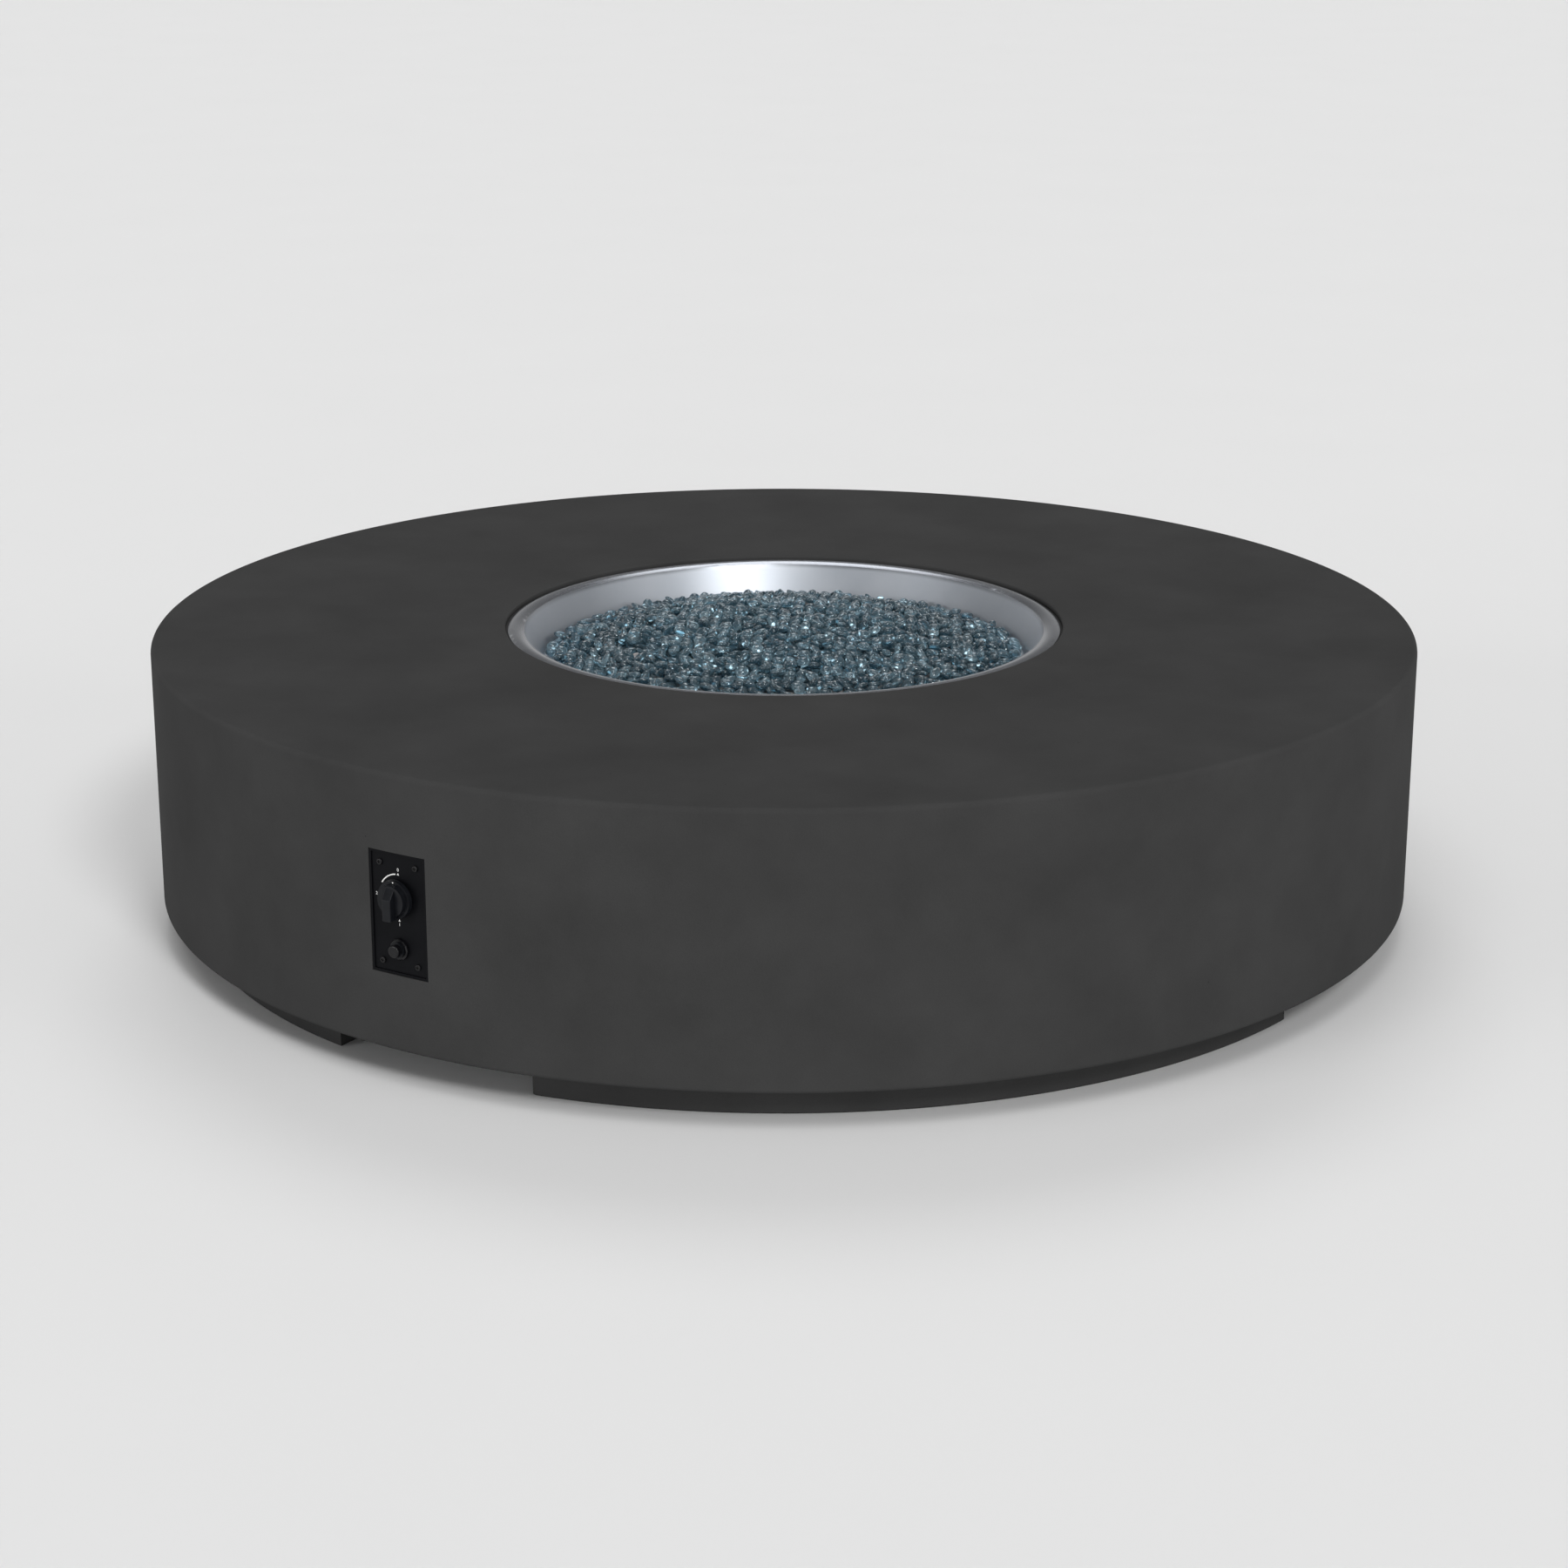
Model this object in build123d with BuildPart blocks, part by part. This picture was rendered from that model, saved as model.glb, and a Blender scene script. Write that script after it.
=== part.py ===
"""Round concrete gas fire table: drum on four feet, stainless pan with a glass bed, burner and controls.

Millimetres. The origin is on the floor under the middle of the drum. +Z is up, and the panel faces -Y.
"""
import math
import os

from build123d import *

os.makedirs("parts", exist_ok=True)

# Clearances and bends
fit = 0.05  # radial room of a round piece in its hole
hold = 0.1  # radial room of a hose or lead in its clip
bend_share = 0.45  # of the shorter run, taken by a bend

# Concrete drum
body_radius = 762.0
body_top = 350.0
wall = 28.0
top_slab = 32.0
base_return = 30.0
return_width = 130.0
top_edge_round = 6.0
base_edge_round = 4.0
mouth_edge_round = 2.0
cove_round = 15.0

# Feet
foot_height = 40.0
foot_inset = 43.0
foot_width = 80.0
front_slot_half = 131.0
side_slot_half = 77.7
foot_chamfer = 2.0
foot_bolt_angles = (26.0, 68.0)  # degrees from the Y axis
bolt_radius = 5.0
bolt_hole_radius = 5.5
bolt_head_radius = 8.0
bolt_head_height = 9.0
bolt_recess_radius = 9.5
bolt_recess_depth = 14.0
bolt_socket_apothem = 4.0
bolt_socket_depth = 5.0
bolt_tip_gap = 2.5
insert_radius = 9.0
insert_length = 24.0

# Pan
lip_radius = 336.5
lip_width = 20.2
lip_drop = 4.6
lip_inner_drop = 1.2
lip_crown = 2.4
lip_thickness = 2.0
rebate_gap = 3.0
ledge_gap = 2.5
pan_depth = 47.4
pan_taper = 21.3
pan_sheet = 2.0
pan_bend = 4.0
weep_count = 6
weep_radius = 4.0
weep_inset = 40.0

# Burner
burner_tube_radius = 8.6
burner_wall = 1.2
burner_lift = 1.4
outer_ring_inset = 80.0
inner_ring_radius = 110.0
ring_sides = 16  # the rings' section
spoke_radius = 7.0
spoke_count = 4
spoke_start = 45.0
spoke_overlap = 2.0
hub_radius = 20.0
hub_roof = 1.6
port_radius = 1.2
outer_ports = 24
inner_ports = 16

# Gas train under the pan
nipple_radius = 10.65
nipple_bore = 7.9
nipple_hole_radius = 11.0
nipple_free = 8.0
washer_radius = 32.0
washer_thickness = 2.5
locknut_apothem = 17.0
locknut_thickness = 8.0
mixer_radius = 15.0
mixer_length = 68.0
mixer_socket = 20.0
mixer_floor = 12.0
mixer_window_width = 8.0
mixer_window_height = 18.0
mixer_windows = 4
orifice_radius = 5.0
orifice_reach = 16.0
orifice_apothem = 9.5
orifice_hex = 8.0
orifice_jet = 0.9
orifice_bore = 3.2
orifice_tail_radius = 6.0
orifice_tail = 12.0
elbow_block = 22.0
elbow_neck_radius = 10.0
elbow_neck = 5.0
gas_bore = 4.5
flare_radius = 7.94
flare_length = 18.0
flare_taper = 4.0
flare_grip = 14.0
hose_radius = 7.0
hose_bore = 4.5
hose_grip = 14.0
hose_straight = 60.0
hose_nut_apothem = 11.0

# Control panel
panel_recess = 3.0
panel_thickness = 2.0
panel_gap = 0.3
panel_corner = 2.0
frame_width = 74.0
frame_height = 136.0
frame_wall = 2.5
frame_recess = 1.5
frame_gap = 0.5
frame_flange = 15.0
frame_flange_thickness = 2.5
frame_tab = 18.0
frame_tab_thickness = 3.0
boss_step = 10.0
boss_side_margin = 43.0
boss_end_margin = 32.0
panel_screw_inset = 13.5
panel_screw_end_inset = 13.0
panel_screw_radius = 2.0
panel_screw_hole = 2.3
panel_screw_length = 9.0
panel_screw_head_radius = 3.5
panel_screw_head = 2.2
frame_screw_radius = 2.5
frame_screw_length = 22.0
frame_screw_head_radius = 4.75
frame_screw_head = 3.0
cross_slot_width = 0.9
cross_slot_share = 0.6  # of the head, across and in depth

# Gas valve and knob
knob_rise = 18.6
push_travel = 4.0
push_clear = 0.6
knob_clear = 1.0
knob_radius = 21.5
knob_skirt = 4.5
knob_skirt_taper = 8.0
knob_hub_radius = 17.5
knob_hub_proud = 15.0
knob_hub_taper = 4.0
knob_blade_width = 11.0
knob_proud = 22.0
knob_nose_proud = 13.0
knob_nose_reach = 17.5
knob_slope_start = 3.0
knob_edge = 1.0
knob_recess_radius = 14.0
pointer_radius = 0.9
pointer_place = 19.2
pointer_depth = 0.5
valve_width = 34.0
valve_height = 40.0
valve_neck_radius = 8.0
valve_neck_proud = 4.5
valve_locknut_apothem = 11.0
valve_locknut_thickness = 3.0
valve_nose = 5.0
stem_radius = 4.0
stem_flat = 2.8
stem_proud = 18.0
stem_stop = 0.6
spool_radius = 6.0
spool_port = 4.0
spool_tail = 9.0
collar = 2.0
spring_length = 12.0
spring_outer_radius = 5.5
spring_inner_radius = 4.0
cap_plug = 4.0
cap_hex = 6.0
cap_apothem = 10.0
port_clear = 4.5
port_thread_radius = 8.0
port_thread = 9.0
elbow_reach = 40.0

# Igniter
igniter_drop = 38.5
igniter_neck_radius = 9.0
igniter_neck_proud = 7.0
igniter_neck_bore = 7.05
igniter_body_radius = 12.0
igniter_body_length = 65.0
igniter_bore = 7.6
igniter_rear_wall = 5.5
bezel_sides = 12
bezel_radius = 12.0
bezel_thickness = 4.5
bezel_chamfer = 1.1
button_radius = 7.0
button_proud = 13.0
button_flange_radius = 7.5
button_flange = 2.0
button_stop = 0.3
button_round = 1.5
button_spring_length = 6.0
button_spring_outer = 6.0
button_spring_inner = 4.5
battery_radius = 7.25
battery_length = 49.0
battery_tip_radius = 2.75
battery_tip = 1.5
wire_radius = 2.0
wire_straight = 52.0
wire_tail = 4.0
wire_spacing = 2.0
clip_length = 6.0
clip_wall = 1.5

# Spark electrode
electrode_offset = 16.8
electrode_angle = -102.8  # degrees from +X
electrode_radius = 1.5
electrode_tail = 38.0
electrode_rise = 13.4
electrode_bend = 4.0
spark_gap = 4.0
insulator_radius = 4.0
insulator_room = 0.2
insulator_below = 22.0
insulator_above = 8.0
insulator_collar_radius = 7.0
insulator_collar = 3.0
bracket_length = 46.0
bracket_width = 16.0
bracket_thickness = 4.5
bracket_corner = 4.0
bracket_screw_spacing = 34.0
bracket_screw_radius = 2.0
bracket_screw_hole = 2.3
bracket_screw_head_radius = 3.5
bracket_screw_head = 2.2
boot_radius = 4.5
boot_length = 24.0

# Glass bed
bed_inset = 8.0
bed_edge = 6.0
bed_height = 50.4
bed_clear = 0.4
bed_cover = 4.6  # glass over the outer ring
electrode_pocket_width = 18.0
electrode_pocket_margin = 10.0
electrode_pocket_height = 22.0

# Places worked out from the sizes above
wall_inner_radius = body_radius - wall
base_opening_radius = body_radius - return_width
foot_outer_radius = body_radius - foot_inset
foot_inner_radius = foot_outer_radius - foot_width
foot_middle_radius = foot_outer_radius - foot_width / 2
lip_inner_radius = lip_radius - lip_width
pan_floor_radius = lip_inner_radius - pan_taper
weep_circle = pan_floor_radius - weep_inset
outer_ring_radius = pan_floor_radius - outer_ring_inset
bed_radius = pan_floor_radius - bed_inset
ledge_z = body_top - lip_drop - lip_thickness
floor_z = body_top - pan_depth
pan_bottom_z = floor_z - pan_sheet
lip_inner_z = body_top - lip_drop - lip_inner_drop
pan_slope = (lip_inner_radius - pan_floor_radius) / (lip_inner_z - floor_z)
pan_wall_across = pan_sheet * math.hypot(1, pan_slope)
burner_z = floor_z + burner_lift + burner_tube_radius
burner_top_z = burner_z + burner_tube_radius
ring_bore = burner_tube_radius - burner_wall
spoke_bore = spoke_radius - burner_wall
locknut_z = pan_bottom_z - washer_thickness - locknut_thickness
mixer_top_z = locknut_z - nipple_free
mixer_bottom_z = mixer_top_z - mixer_length
orifice_bottom_z = mixer_bottom_z - orifice_hex
burner_elbow_z = orifice_bottom_z - elbow_neck - elbow_block / 2
panel_face_y = panel_recess - body_radius
panel_back_y = panel_face_y + panel_thickness
frame_front_y = frame_recess - body_radius
boss_face_y = wall + boss_step - body_radius
frame_back_y = boss_face_y + frame_flange_thickness
panel_z = (foot_height + body_top) / 2
knob_z = panel_z + knob_rise
igniter_z = panel_z - igniter_drop
knob_gap = push_travel + knob_clear
knob_recess_proud = valve_neck_proud + push_travel + push_clear
port_y = frame_back_y + frame_screw_head + port_clear + elbow_block / 2
spool_back_y = port_y + spool_tail
valve_back_y = spool_back_y + collar + spring_length + cap_plug
spool_front_y = panel_back_y + valve_nose + stem_stop
igniter_back_y = panel_back_y + igniter_body_length
electrode_circle = inner_ring_radius + burner_tube_radius + electrode_offset
electrode_x = electrode_circle * math.cos(math.radians(electrode_angle))
electrode_y = electrode_circle * math.sin(math.radians(electrode_angle))
electrode_bottom_z = pan_bottom_z - electrode_tail
electrode_tip_z = floor_z + electrode_rise
electrode_tip_radius = inner_ring_radius + burner_tube_radius + spark_gap
electrode_out = Vector(math.cos(math.radians(electrode_angle)), math.sin(math.radians(electrode_angle)), 0)
hose_start = Vector(elbow_reach, port_y + elbow_block / 2 + flare_length, knob_z)
hose_end = Vector(0, -elbow_block / 2 - flare_length, burner_elbow_z)
wire_start = Vector(0, igniter_back_y - wire_tail, igniter_z)
wire_end = Vector(electrode_x, electrode_y, electrode_bottom_z)

# Routes of the gas hose and of the spark lead that is clipped to it
wire_offset = Vector(-hose_radius - wire_radius - wire_spacing, 0, 0)
shared_points = [Vector(37, -470, 155), Vector(31, -385, 130), Vector(22, -295, 121)]
hose_points = [
    hose_start,
    hose_start + Vector(0, hose_straight, 0),
    Vector(40, -548, 196),
    *shared_points,
    Vector(10, -208, 133),
    Vector(2, -142, 160),
    hose_end - Vector(0, hose_straight, 0),
    hose_end,
]
wire_points = [
    wire_start,
    wire_start + Vector(0, wire_straight, 0),
    Vector(8, -590, 158),
    Vector(18, -530, 164),
    *[point + wire_offset for point in shared_points],
    Vector(-8, -222, 131),
    Vector(-24, -168, 158),
    wire_end - Vector(0, 0, wire_straight),
    wire_end,
]


def panel_plane(height, proud=0.0):
    """Plane parallel to the control panel at a height, facing out, so far in front of the panel's face."""
    return Plane(origin=(0, panel_face_y - proud, height), x_dir=(1, 0, 0), z_dir=(0, -1, 0))


def back_plane(y, height):
    """Plane across the drum's Y axis at a height, facing the drum's middle."""
    return Plane(origin=(0, y, height), x_dir=(-1, 0, 0), z_dir=(0, 1, 0))


def bend_radii(points):
    """Arc at each inner point of a route, which takes a share of the shorter run on each side of it."""
    radii = []
    for before, here, after in zip(points, points[1:], points[2:]):
        turn = math.radians((here - before).get_angle(after - here))
        shorter = min((here - before).length, (after - here).length)
        radii.append(bend_share * shorter / math.tan(turn / 2))
    return radii


def cut_cross_slots(plane, head_radius, head_height, places):
    """Cross recess in the heads of a group of screws whose tops lie on the plane."""
    for turn in (0, 90):
        with BuildSketch(plane) as slots:
            with Locations(*places):
                Rectangle(2 * head_radius * cross_slot_share, cross_slot_width, rotation=turn)
        extrude(slots.sketch, amount=-head_height * cross_slot_share, mode=Mode.SUBTRACT)


def add_male_flare(plane):
    """Tapered male flare end that grows from a plane."""
    with BuildSketch(plane) as shank:
        Circle(flare_radius)
    extrude(shank.sketch, amount=flare_length - flare_taper)
    with BuildSketch(plane.offset(flare_length - flare_taper)) as shoulder:
        Circle(flare_radius)
    with BuildSketch(plane.offset(flare_length)) as nose:
        Circle(flare_radius - flare_taper / 2)
    loft([shoulder.sketch, nose.sketch])


def add_burner_tubes(ring_tube, spoke_tube, spoke_root, mode):
    """Both burner rings, of a many-sided section, and the round spokes out to them from a root radius."""
    for ring_radius in (inner_ring_radius, outer_ring_radius):
        with BuildSketch(Plane.XZ) as section:
            with Locations((ring_radius, burner_z)):
                RegularPolygon(ring_tube, ring_sides, rotation=180 / ring_sides)
        revolve(section.sketch, axis=Axis.Z, mode=mode)
    with Locations((0, 0, burner_z)):
        with PolarLocations(spoke_root, spoke_count, start_angle=spoke_start):
            Cylinder(
                spoke_tube,
                outer_ring_radius - spoke_root,
                rotation=(0, 90, 0),
                align=(Align.CENTER, Align.CENTER, Align.MIN),
                mode=mode,
            )


def add_valve_elbow(side, flare_plane):
    """Forged elbow screwed into one side of the valve, with its flare on the given plane."""
    face = Plane(origin=(side * valve_width / 2, port_y, knob_z), x_dir=(0, 1, 0), z_dir=(side, 0, 0))
    neck = elbow_reach - elbow_block / 2 - valve_width / 2
    with Locations((side * elbow_reach, port_y, knob_z)):
        Box(elbow_block, elbow_block, elbow_block)
    with BuildSketch(face) as neck_end:
        Circle(elbow_neck_radius)
    extrude(neck_end.sketch, amount=neck)
    with BuildSketch(face) as thread:
        Circle(port_thread_radius)
    extrude(thread.sketch, amount=-port_thread)
    add_male_flare(flare_plane)
    with BuildSketch(face.offset(-port_thread)) as thread_bore:
        Circle(gas_bore)
    extrude(thread_bore.sketch, amount=port_thread + neck + elbow_block / 2, mode=Mode.SUBTRACT)
    with BuildSketch(flare_plane.offset(flare_length)) as flare_bore:
        Circle(gas_bore)
    extrude(flare_bore.sketch, amount=-flare_length - elbow_block / 2, mode=Mode.SUBTRACT)


# Concrete drum
foot_bolt_places = [
    (
        side * foot_middle_radius * math.sin(math.radians(angle)),
        end * foot_middle_radius * math.cos(math.radians(angle)),
    )
    for side in (-1, 1)
    for end in (-1, 1)
    for angle in foot_bolt_angles
]
ledge_radius = lip_inner_radius + pan_wall_across + ledge_gap
mouth_radius = lip_radius + rebate_gap
panel_screw_x = frame_width - 2 * panel_screw_inset
panel_screw_z = frame_height - 2 * panel_screw_end_inset
frame_screw_x = frame_width + frame_flange
frame_screw_z = frame_height + frame_flange

with BuildPart() as concrete_shell:
    with BuildSketch(Plane.XZ):
        with BuildLine():
            FilletPolyline(
                (ledge_radius, ledge_z),
                (mouth_radius, ledge_z),
                (mouth_radius, body_top),
                (body_radius, body_top),
                (body_radius, foot_height),
                (base_opening_radius, foot_height),
                (base_opening_radius, foot_height + base_return),
                (wall_inner_radius, foot_height + base_return),
                (wall_inner_radius, body_top - top_slab),
                (ledge_radius, body_top - top_slab),
                radius=[
                    0,
                    0,
                    mouth_edge_round,
                    top_edge_round,
                    base_edge_round,
                    base_edge_round,
                    base_edge_round,
                    cove_round,
                    cove_round,
                    base_edge_round,
                ],
                close=True,
            )
        make_face()
    revolve(axis=Axis.Z)
    # Flat boss behind the control panel
    with BuildSketch(back_plane(-wall_inner_radius - boss_step, panel_z)):
        Rectangle(frame_width + 2 * boss_side_margin, frame_height + 2 * boss_end_margin)
    extrude(amount=boss_face_y + wall_inner_radius + boss_step)
    # Mouth for the panel frame
    with BuildSketch(back_plane(boss_face_y, panel_z)):
        Rectangle(frame_width + 2 * frame_gap, frame_height + 2 * frame_gap)
    extrude(amount=-2 * (wall + boss_step), mode=Mode.SUBTRACT)
    with BuildSketch(back_plane(boss_face_y, panel_z)):
        with GridLocations(frame_screw_x, frame_screw_z, 2, 2):
            Circle(frame_screw_radius + fit)
    extrude(amount=-frame_screw_length, mode=Mode.SUBTRACT)
    # Pockets for the threaded inserts
    with BuildSketch(Plane.XY.offset(foot_height)):
        with Locations(*foot_bolt_places):
            Circle(insert_radius + fit)
    extrude(amount=insert_length, mode=Mode.SUBTRACT)
concrete_shell.part.label = "concrete_shell"
export_step(concrete_shell.part, "parts/concrete_shell.step")

# Four curved feet: a ring cut by two straight slots that cross
for foot_name, side, end in (
    ("foot_front_left", -1, -1),
    ("foot_front_right", 1, -1),
    ("foot_rear_left", -1, 1),
    ("foot_rear_right", 1, 1),
):
    with BuildPart() as foot:
        with BuildSketch(Plane.XY):
            Circle(foot_outer_radius)
            Circle(foot_inner_radius, mode=Mode.SUBTRACT)
            corner = (
                side * (front_slot_half + foot_outer_radius / 2),
                end * (side_slot_half + foot_outer_radius / 2),
            )
            with Locations(corner):
                Rectangle(foot_outer_radius, foot_outer_radius, mode=Mode.INTERSECT)
        extrude(amount=foot_height)
        chamfer(foot.edges().group_by(Axis.Z)[0], foot_chamfer)
        for place in foot_bolt_places:
            if place[0] * side > 0 and place[1] * end > 0:
                with Locations(Plane(origin=(*place, 0), z_dir=(0, 0, -1))):
                    CounterBoreHole(bolt_hole_radius, bolt_recess_radius, bolt_recess_depth, foot_height)
    foot.part.label = foot_name
    export_step(foot.part, f"parts/{foot_name}.step")

with BuildPart() as foot_bolts:
    with BuildSketch(Plane.XY.offset(bolt_recess_depth - bolt_head_height)):
        with Locations(*foot_bolt_places):
            Circle(bolt_head_radius)
    extrude(amount=bolt_head_height)
    with BuildSketch(Plane.XY.offset(bolt_recess_depth)):
        with Locations(*foot_bolt_places):
            Circle(bolt_radius)
    extrude(amount=foot_height - bolt_recess_depth + insert_length - bolt_tip_gap)
    with BuildSketch(Plane.XY.offset(bolt_recess_depth - bolt_head_height)):
        with Locations(*foot_bolt_places):
            RegularPolygon(bolt_socket_apothem, 6, major_radius=False)
    extrude(amount=bolt_socket_depth, mode=Mode.SUBTRACT)
foot_bolts.part.label = "foot_bolts"
export_step(foot_bolts.part, "parts/foot_bolts.step")

with BuildPart() as foot_inserts:
    with BuildSketch(Plane.XY.offset(foot_height)):
        with Locations(*foot_bolt_places):
            Circle(insert_radius)
            Circle(bolt_radius + fit, mode=Mode.SUBTRACT)
    extrude(amount=insert_length)
foot_inserts.part.label = "foot_inserts"
export_step(foot_inserts.part, "parts/foot_inserts.step")

# Stainless pan: flat floor, conical wall and a crowned, hemmed lip that sits on the concrete's ledge
lip_crest_z = ledge_z + lip_thickness + lip_crown - lip_inner_drop / 2
seat_inner_radius = pan_floor_radius + (ledge_z - floor_z) * pan_slope + pan_wall_across
base_corner_radius = pan_floor_radius - pan_sheet * pan_slope + pan_wall_across

with BuildPart() as fire_pan:
    with BuildSketch(Plane.XZ):
        with BuildLine():
            inside = FilletPolyline(
                (nipple_hole_radius, floor_z),
                (pan_floor_radius, floor_z),
                (lip_inner_radius, lip_inner_z),
                radius=pan_bend,
            )
            lip_top = ThreePointArc(
                (lip_inner_radius, lip_inner_z),
                ((lip_inner_radius + lip_radius) / 2, lip_crest_z),
                (lip_radius, ledge_z + lip_thickness),
            )
            Polyline(lip_top @ 1, (lip_radius, ledge_z), (seat_inner_radius, ledge_z))
            outside = FilletPolyline(
                (seat_inner_radius, ledge_z),
                (base_corner_radius, pan_bottom_z),
                (nipple_hole_radius, pan_bottom_z),
                radius=pan_bend + pan_sheet,
            )
            Line(outside @ 1, inside @ 0)
        make_face()
    revolve(axis=Axis.Z)
    with BuildSketch(Plane.XY.offset(floor_z)):
        with PolarLocations(weep_circle, weep_count):
            Circle(weep_radius)
        with Locations(Location((electrode_x, electrode_y, 0), (0, 0, electrode_angle + 90))):
            Circle(insulator_radius + insulator_room)
            with GridLocations(bracket_screw_spacing, 0, 2, 1):
                Circle(bracket_screw_radius + fit)
    extrude(amount=-pan_sheet, mode=Mode.SUBTRACT)
fire_pan.part.label = "fire_pan"
export_step(fire_pan.part, "parts/fire_pan.step")

# Burner: two hollow rings on four spokes, with a hub that stands on the pan's floor
with BuildPart() as ring_burner:
    add_burner_tubes(burner_tube_radius, spoke_radius, hub_radius - spoke_overlap, Mode.ADD)
    with BuildSketch(Plane.XY.offset(floor_z)):
        Circle(hub_radius)
    extrude(amount=burner_top_z - floor_z)
    add_burner_tubes(ring_bore, spoke_bore, nipple_radius - spoke_overlap, Mode.SUBTRACT)
    with BuildSketch(Plane.XY.offset(floor_z)):
        Circle(nipple_radius + fit)
    extrude(amount=burner_top_z - hub_roof - floor_z, mode=Mode.SUBTRACT)
    with BuildSketch(Plane.XY.offset(burner_z)):
        with PolarLocations(outer_ring_radius, outer_ports, start_angle=180 / outer_ports):
            Circle(port_radius)
        with PolarLocations(inner_ring_radius, inner_ports, start_angle=180 / inner_ports):
            Circle(port_radius)
    extrude(amount=2 * burner_tube_radius, mode=Mode.SUBTRACT)
ring_burner.part.label = "ring_burner"
export_step(ring_burner.part, "parts/ring_burner.step")

# Gas train on the drum's axis, from the burner down
with BuildPart() as burner_nipple:
    with BuildSketch(Plane.XY.offset(mixer_top_z - mixer_socket)):
        Circle(nipple_radius)
        Circle(nipple_bore, mode=Mode.SUBTRACT)
    extrude(amount=burner_z - spoke_bore - (mixer_top_z - mixer_socket))
burner_nipple.part.label = "burner_nipple"
export_step(burner_nipple.part, "parts/burner_nipple.step")

with BuildPart() as nipple_washer:
    with BuildSketch(Plane.XY.offset(pan_bottom_z - washer_thickness)):
        Circle(washer_radius)
        Circle(nipple_hole_radius, mode=Mode.SUBTRACT)
    extrude(amount=washer_thickness)
nipple_washer.part.label = "nipple_washer"
export_step(nipple_washer.part, "parts/nipple_washer.step")

with BuildPart() as nipple_locknut:
    with BuildSketch(Plane.XY.offset(locknut_z)):
        RegularPolygon(locknut_apothem, 6, major_radius=False)
        Circle(nipple_radius + fit, mode=Mode.SUBTRACT)
    extrude(amount=locknut_thickness)
nipple_locknut.part.label = "nipple_locknut"
export_step(nipple_locknut.part, "parts/nipple_locknut.step")

with BuildPart() as air_mixer:
    with BuildSketch(Plane.XY.offset(mixer_bottom_z)):
        Circle(mixer_radius)
        Circle(orifice_radius + fit, mode=Mode.SUBTRACT)
    extrude(amount=mixer_length)
    with BuildSketch(Plane.XY.offset(mixer_bottom_z + mixer_floor)):
        Circle(nipple_bore)
    extrude(amount=mixer_length - mixer_floor, mode=Mode.SUBTRACT)
    with BuildSketch(Plane.XY.offset(mixer_top_z - mixer_socket)):
        Circle(nipple_radius + fit)
    extrude(amount=mixer_socket, mode=Mode.SUBTRACT)
    window_z = (mixer_bottom_z + mixer_floor + mixer_top_z - mixer_socket) / 2
    with Locations((0, 0, window_z)):
        with PolarLocations(mixer_radius, mixer_windows):
            Box(mixer_radius, mixer_window_width, mixer_window_height, mode=Mode.SUBTRACT)
air_mixer.part.label = "air_mixer"
export_step(air_mixer.part, "parts/air_mixer.step")

with BuildPart() as gas_orifice:
    with BuildSketch(Plane.XY.offset(orifice_bottom_z)):
        RegularPolygon(orifice_apothem, 6, major_radius=False)
    extrude(amount=orifice_hex)
    with BuildSketch(Plane.XY.offset(mixer_bottom_z)):
        Circle(orifice_radius)
    extrude(amount=orifice_reach)
    with BuildSketch(Plane.XY.offset(orifice_bottom_z)):
        Circle(orifice_tail_radius)
    extrude(amount=-orifice_tail)
    with BuildSketch(Plane.XY.offset(orifice_bottom_z - orifice_tail)):
        Circle(orifice_bore)
    extrude(amount=orifice_tail + orifice_hex, mode=Mode.SUBTRACT)
    with BuildSketch(Plane.XY.offset(mixer_bottom_z)):
        Circle(orifice_jet)
    extrude(amount=orifice_reach, mode=Mode.SUBTRACT)
gas_orifice.part.label = "gas_orifice"
export_step(gas_orifice.part, "parts/gas_orifice.step")

burner_flare = Plane(origin=(0, -elbow_block / 2, burner_elbow_z), x_dir=(1, 0, 0), z_dir=(0, -1, 0))
with BuildPart() as burner_elbow:
    with Locations((0, 0, burner_elbow_z)):
        Box(elbow_block, elbow_block, elbow_block)
    with BuildSketch(Plane.XY.offset(orifice_bottom_z)):
        Circle(elbow_neck_radius)
    extrude(amount=-elbow_neck)
    add_male_flare(burner_flare)
    with BuildSketch(burner_flare.offset(flare_length)):
        Circle(gas_bore)
    extrude(amount=-flare_length - elbow_block / 2, mode=Mode.SUBTRACT)
    with BuildSketch(Plane.XY.offset(burner_elbow_z)):
        Circle(gas_bore)
    extrude(amount=elbow_block / 2 + elbow_neck, mode=Mode.SUBTRACT)
    with BuildSketch(Plane.XY.offset(orifice_bottom_z)):
        Circle(orifice_tail_radius + fit)
    extrude(amount=-orifice_tail, mode=Mode.SUBTRACT)
burner_elbow.part.label = "burner_elbow"
export_step(burner_elbow.part, "parts/burner_elbow.step")

# Gas hose from the valve to the burner, with a flare nut at each end
hose_radii = bend_radii(hose_points)
with BuildPart() as gas_hose:
    with BuildLine() as hose_route:
        FilletPolyline(*hose_points, radius=hose_radii)
    with BuildSketch(Plane(origin=hose_start, z_dir=(0, 1, 0))):
        Circle(hose_radius)
        Circle(hose_bore, mode=Mode.SUBTRACT)
    sweep(path=hose_route.wires()[0])
gas_hose.part.label = "gas_hose"
export_step(gas_hose.part, "parts/gas_hose.step")

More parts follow.
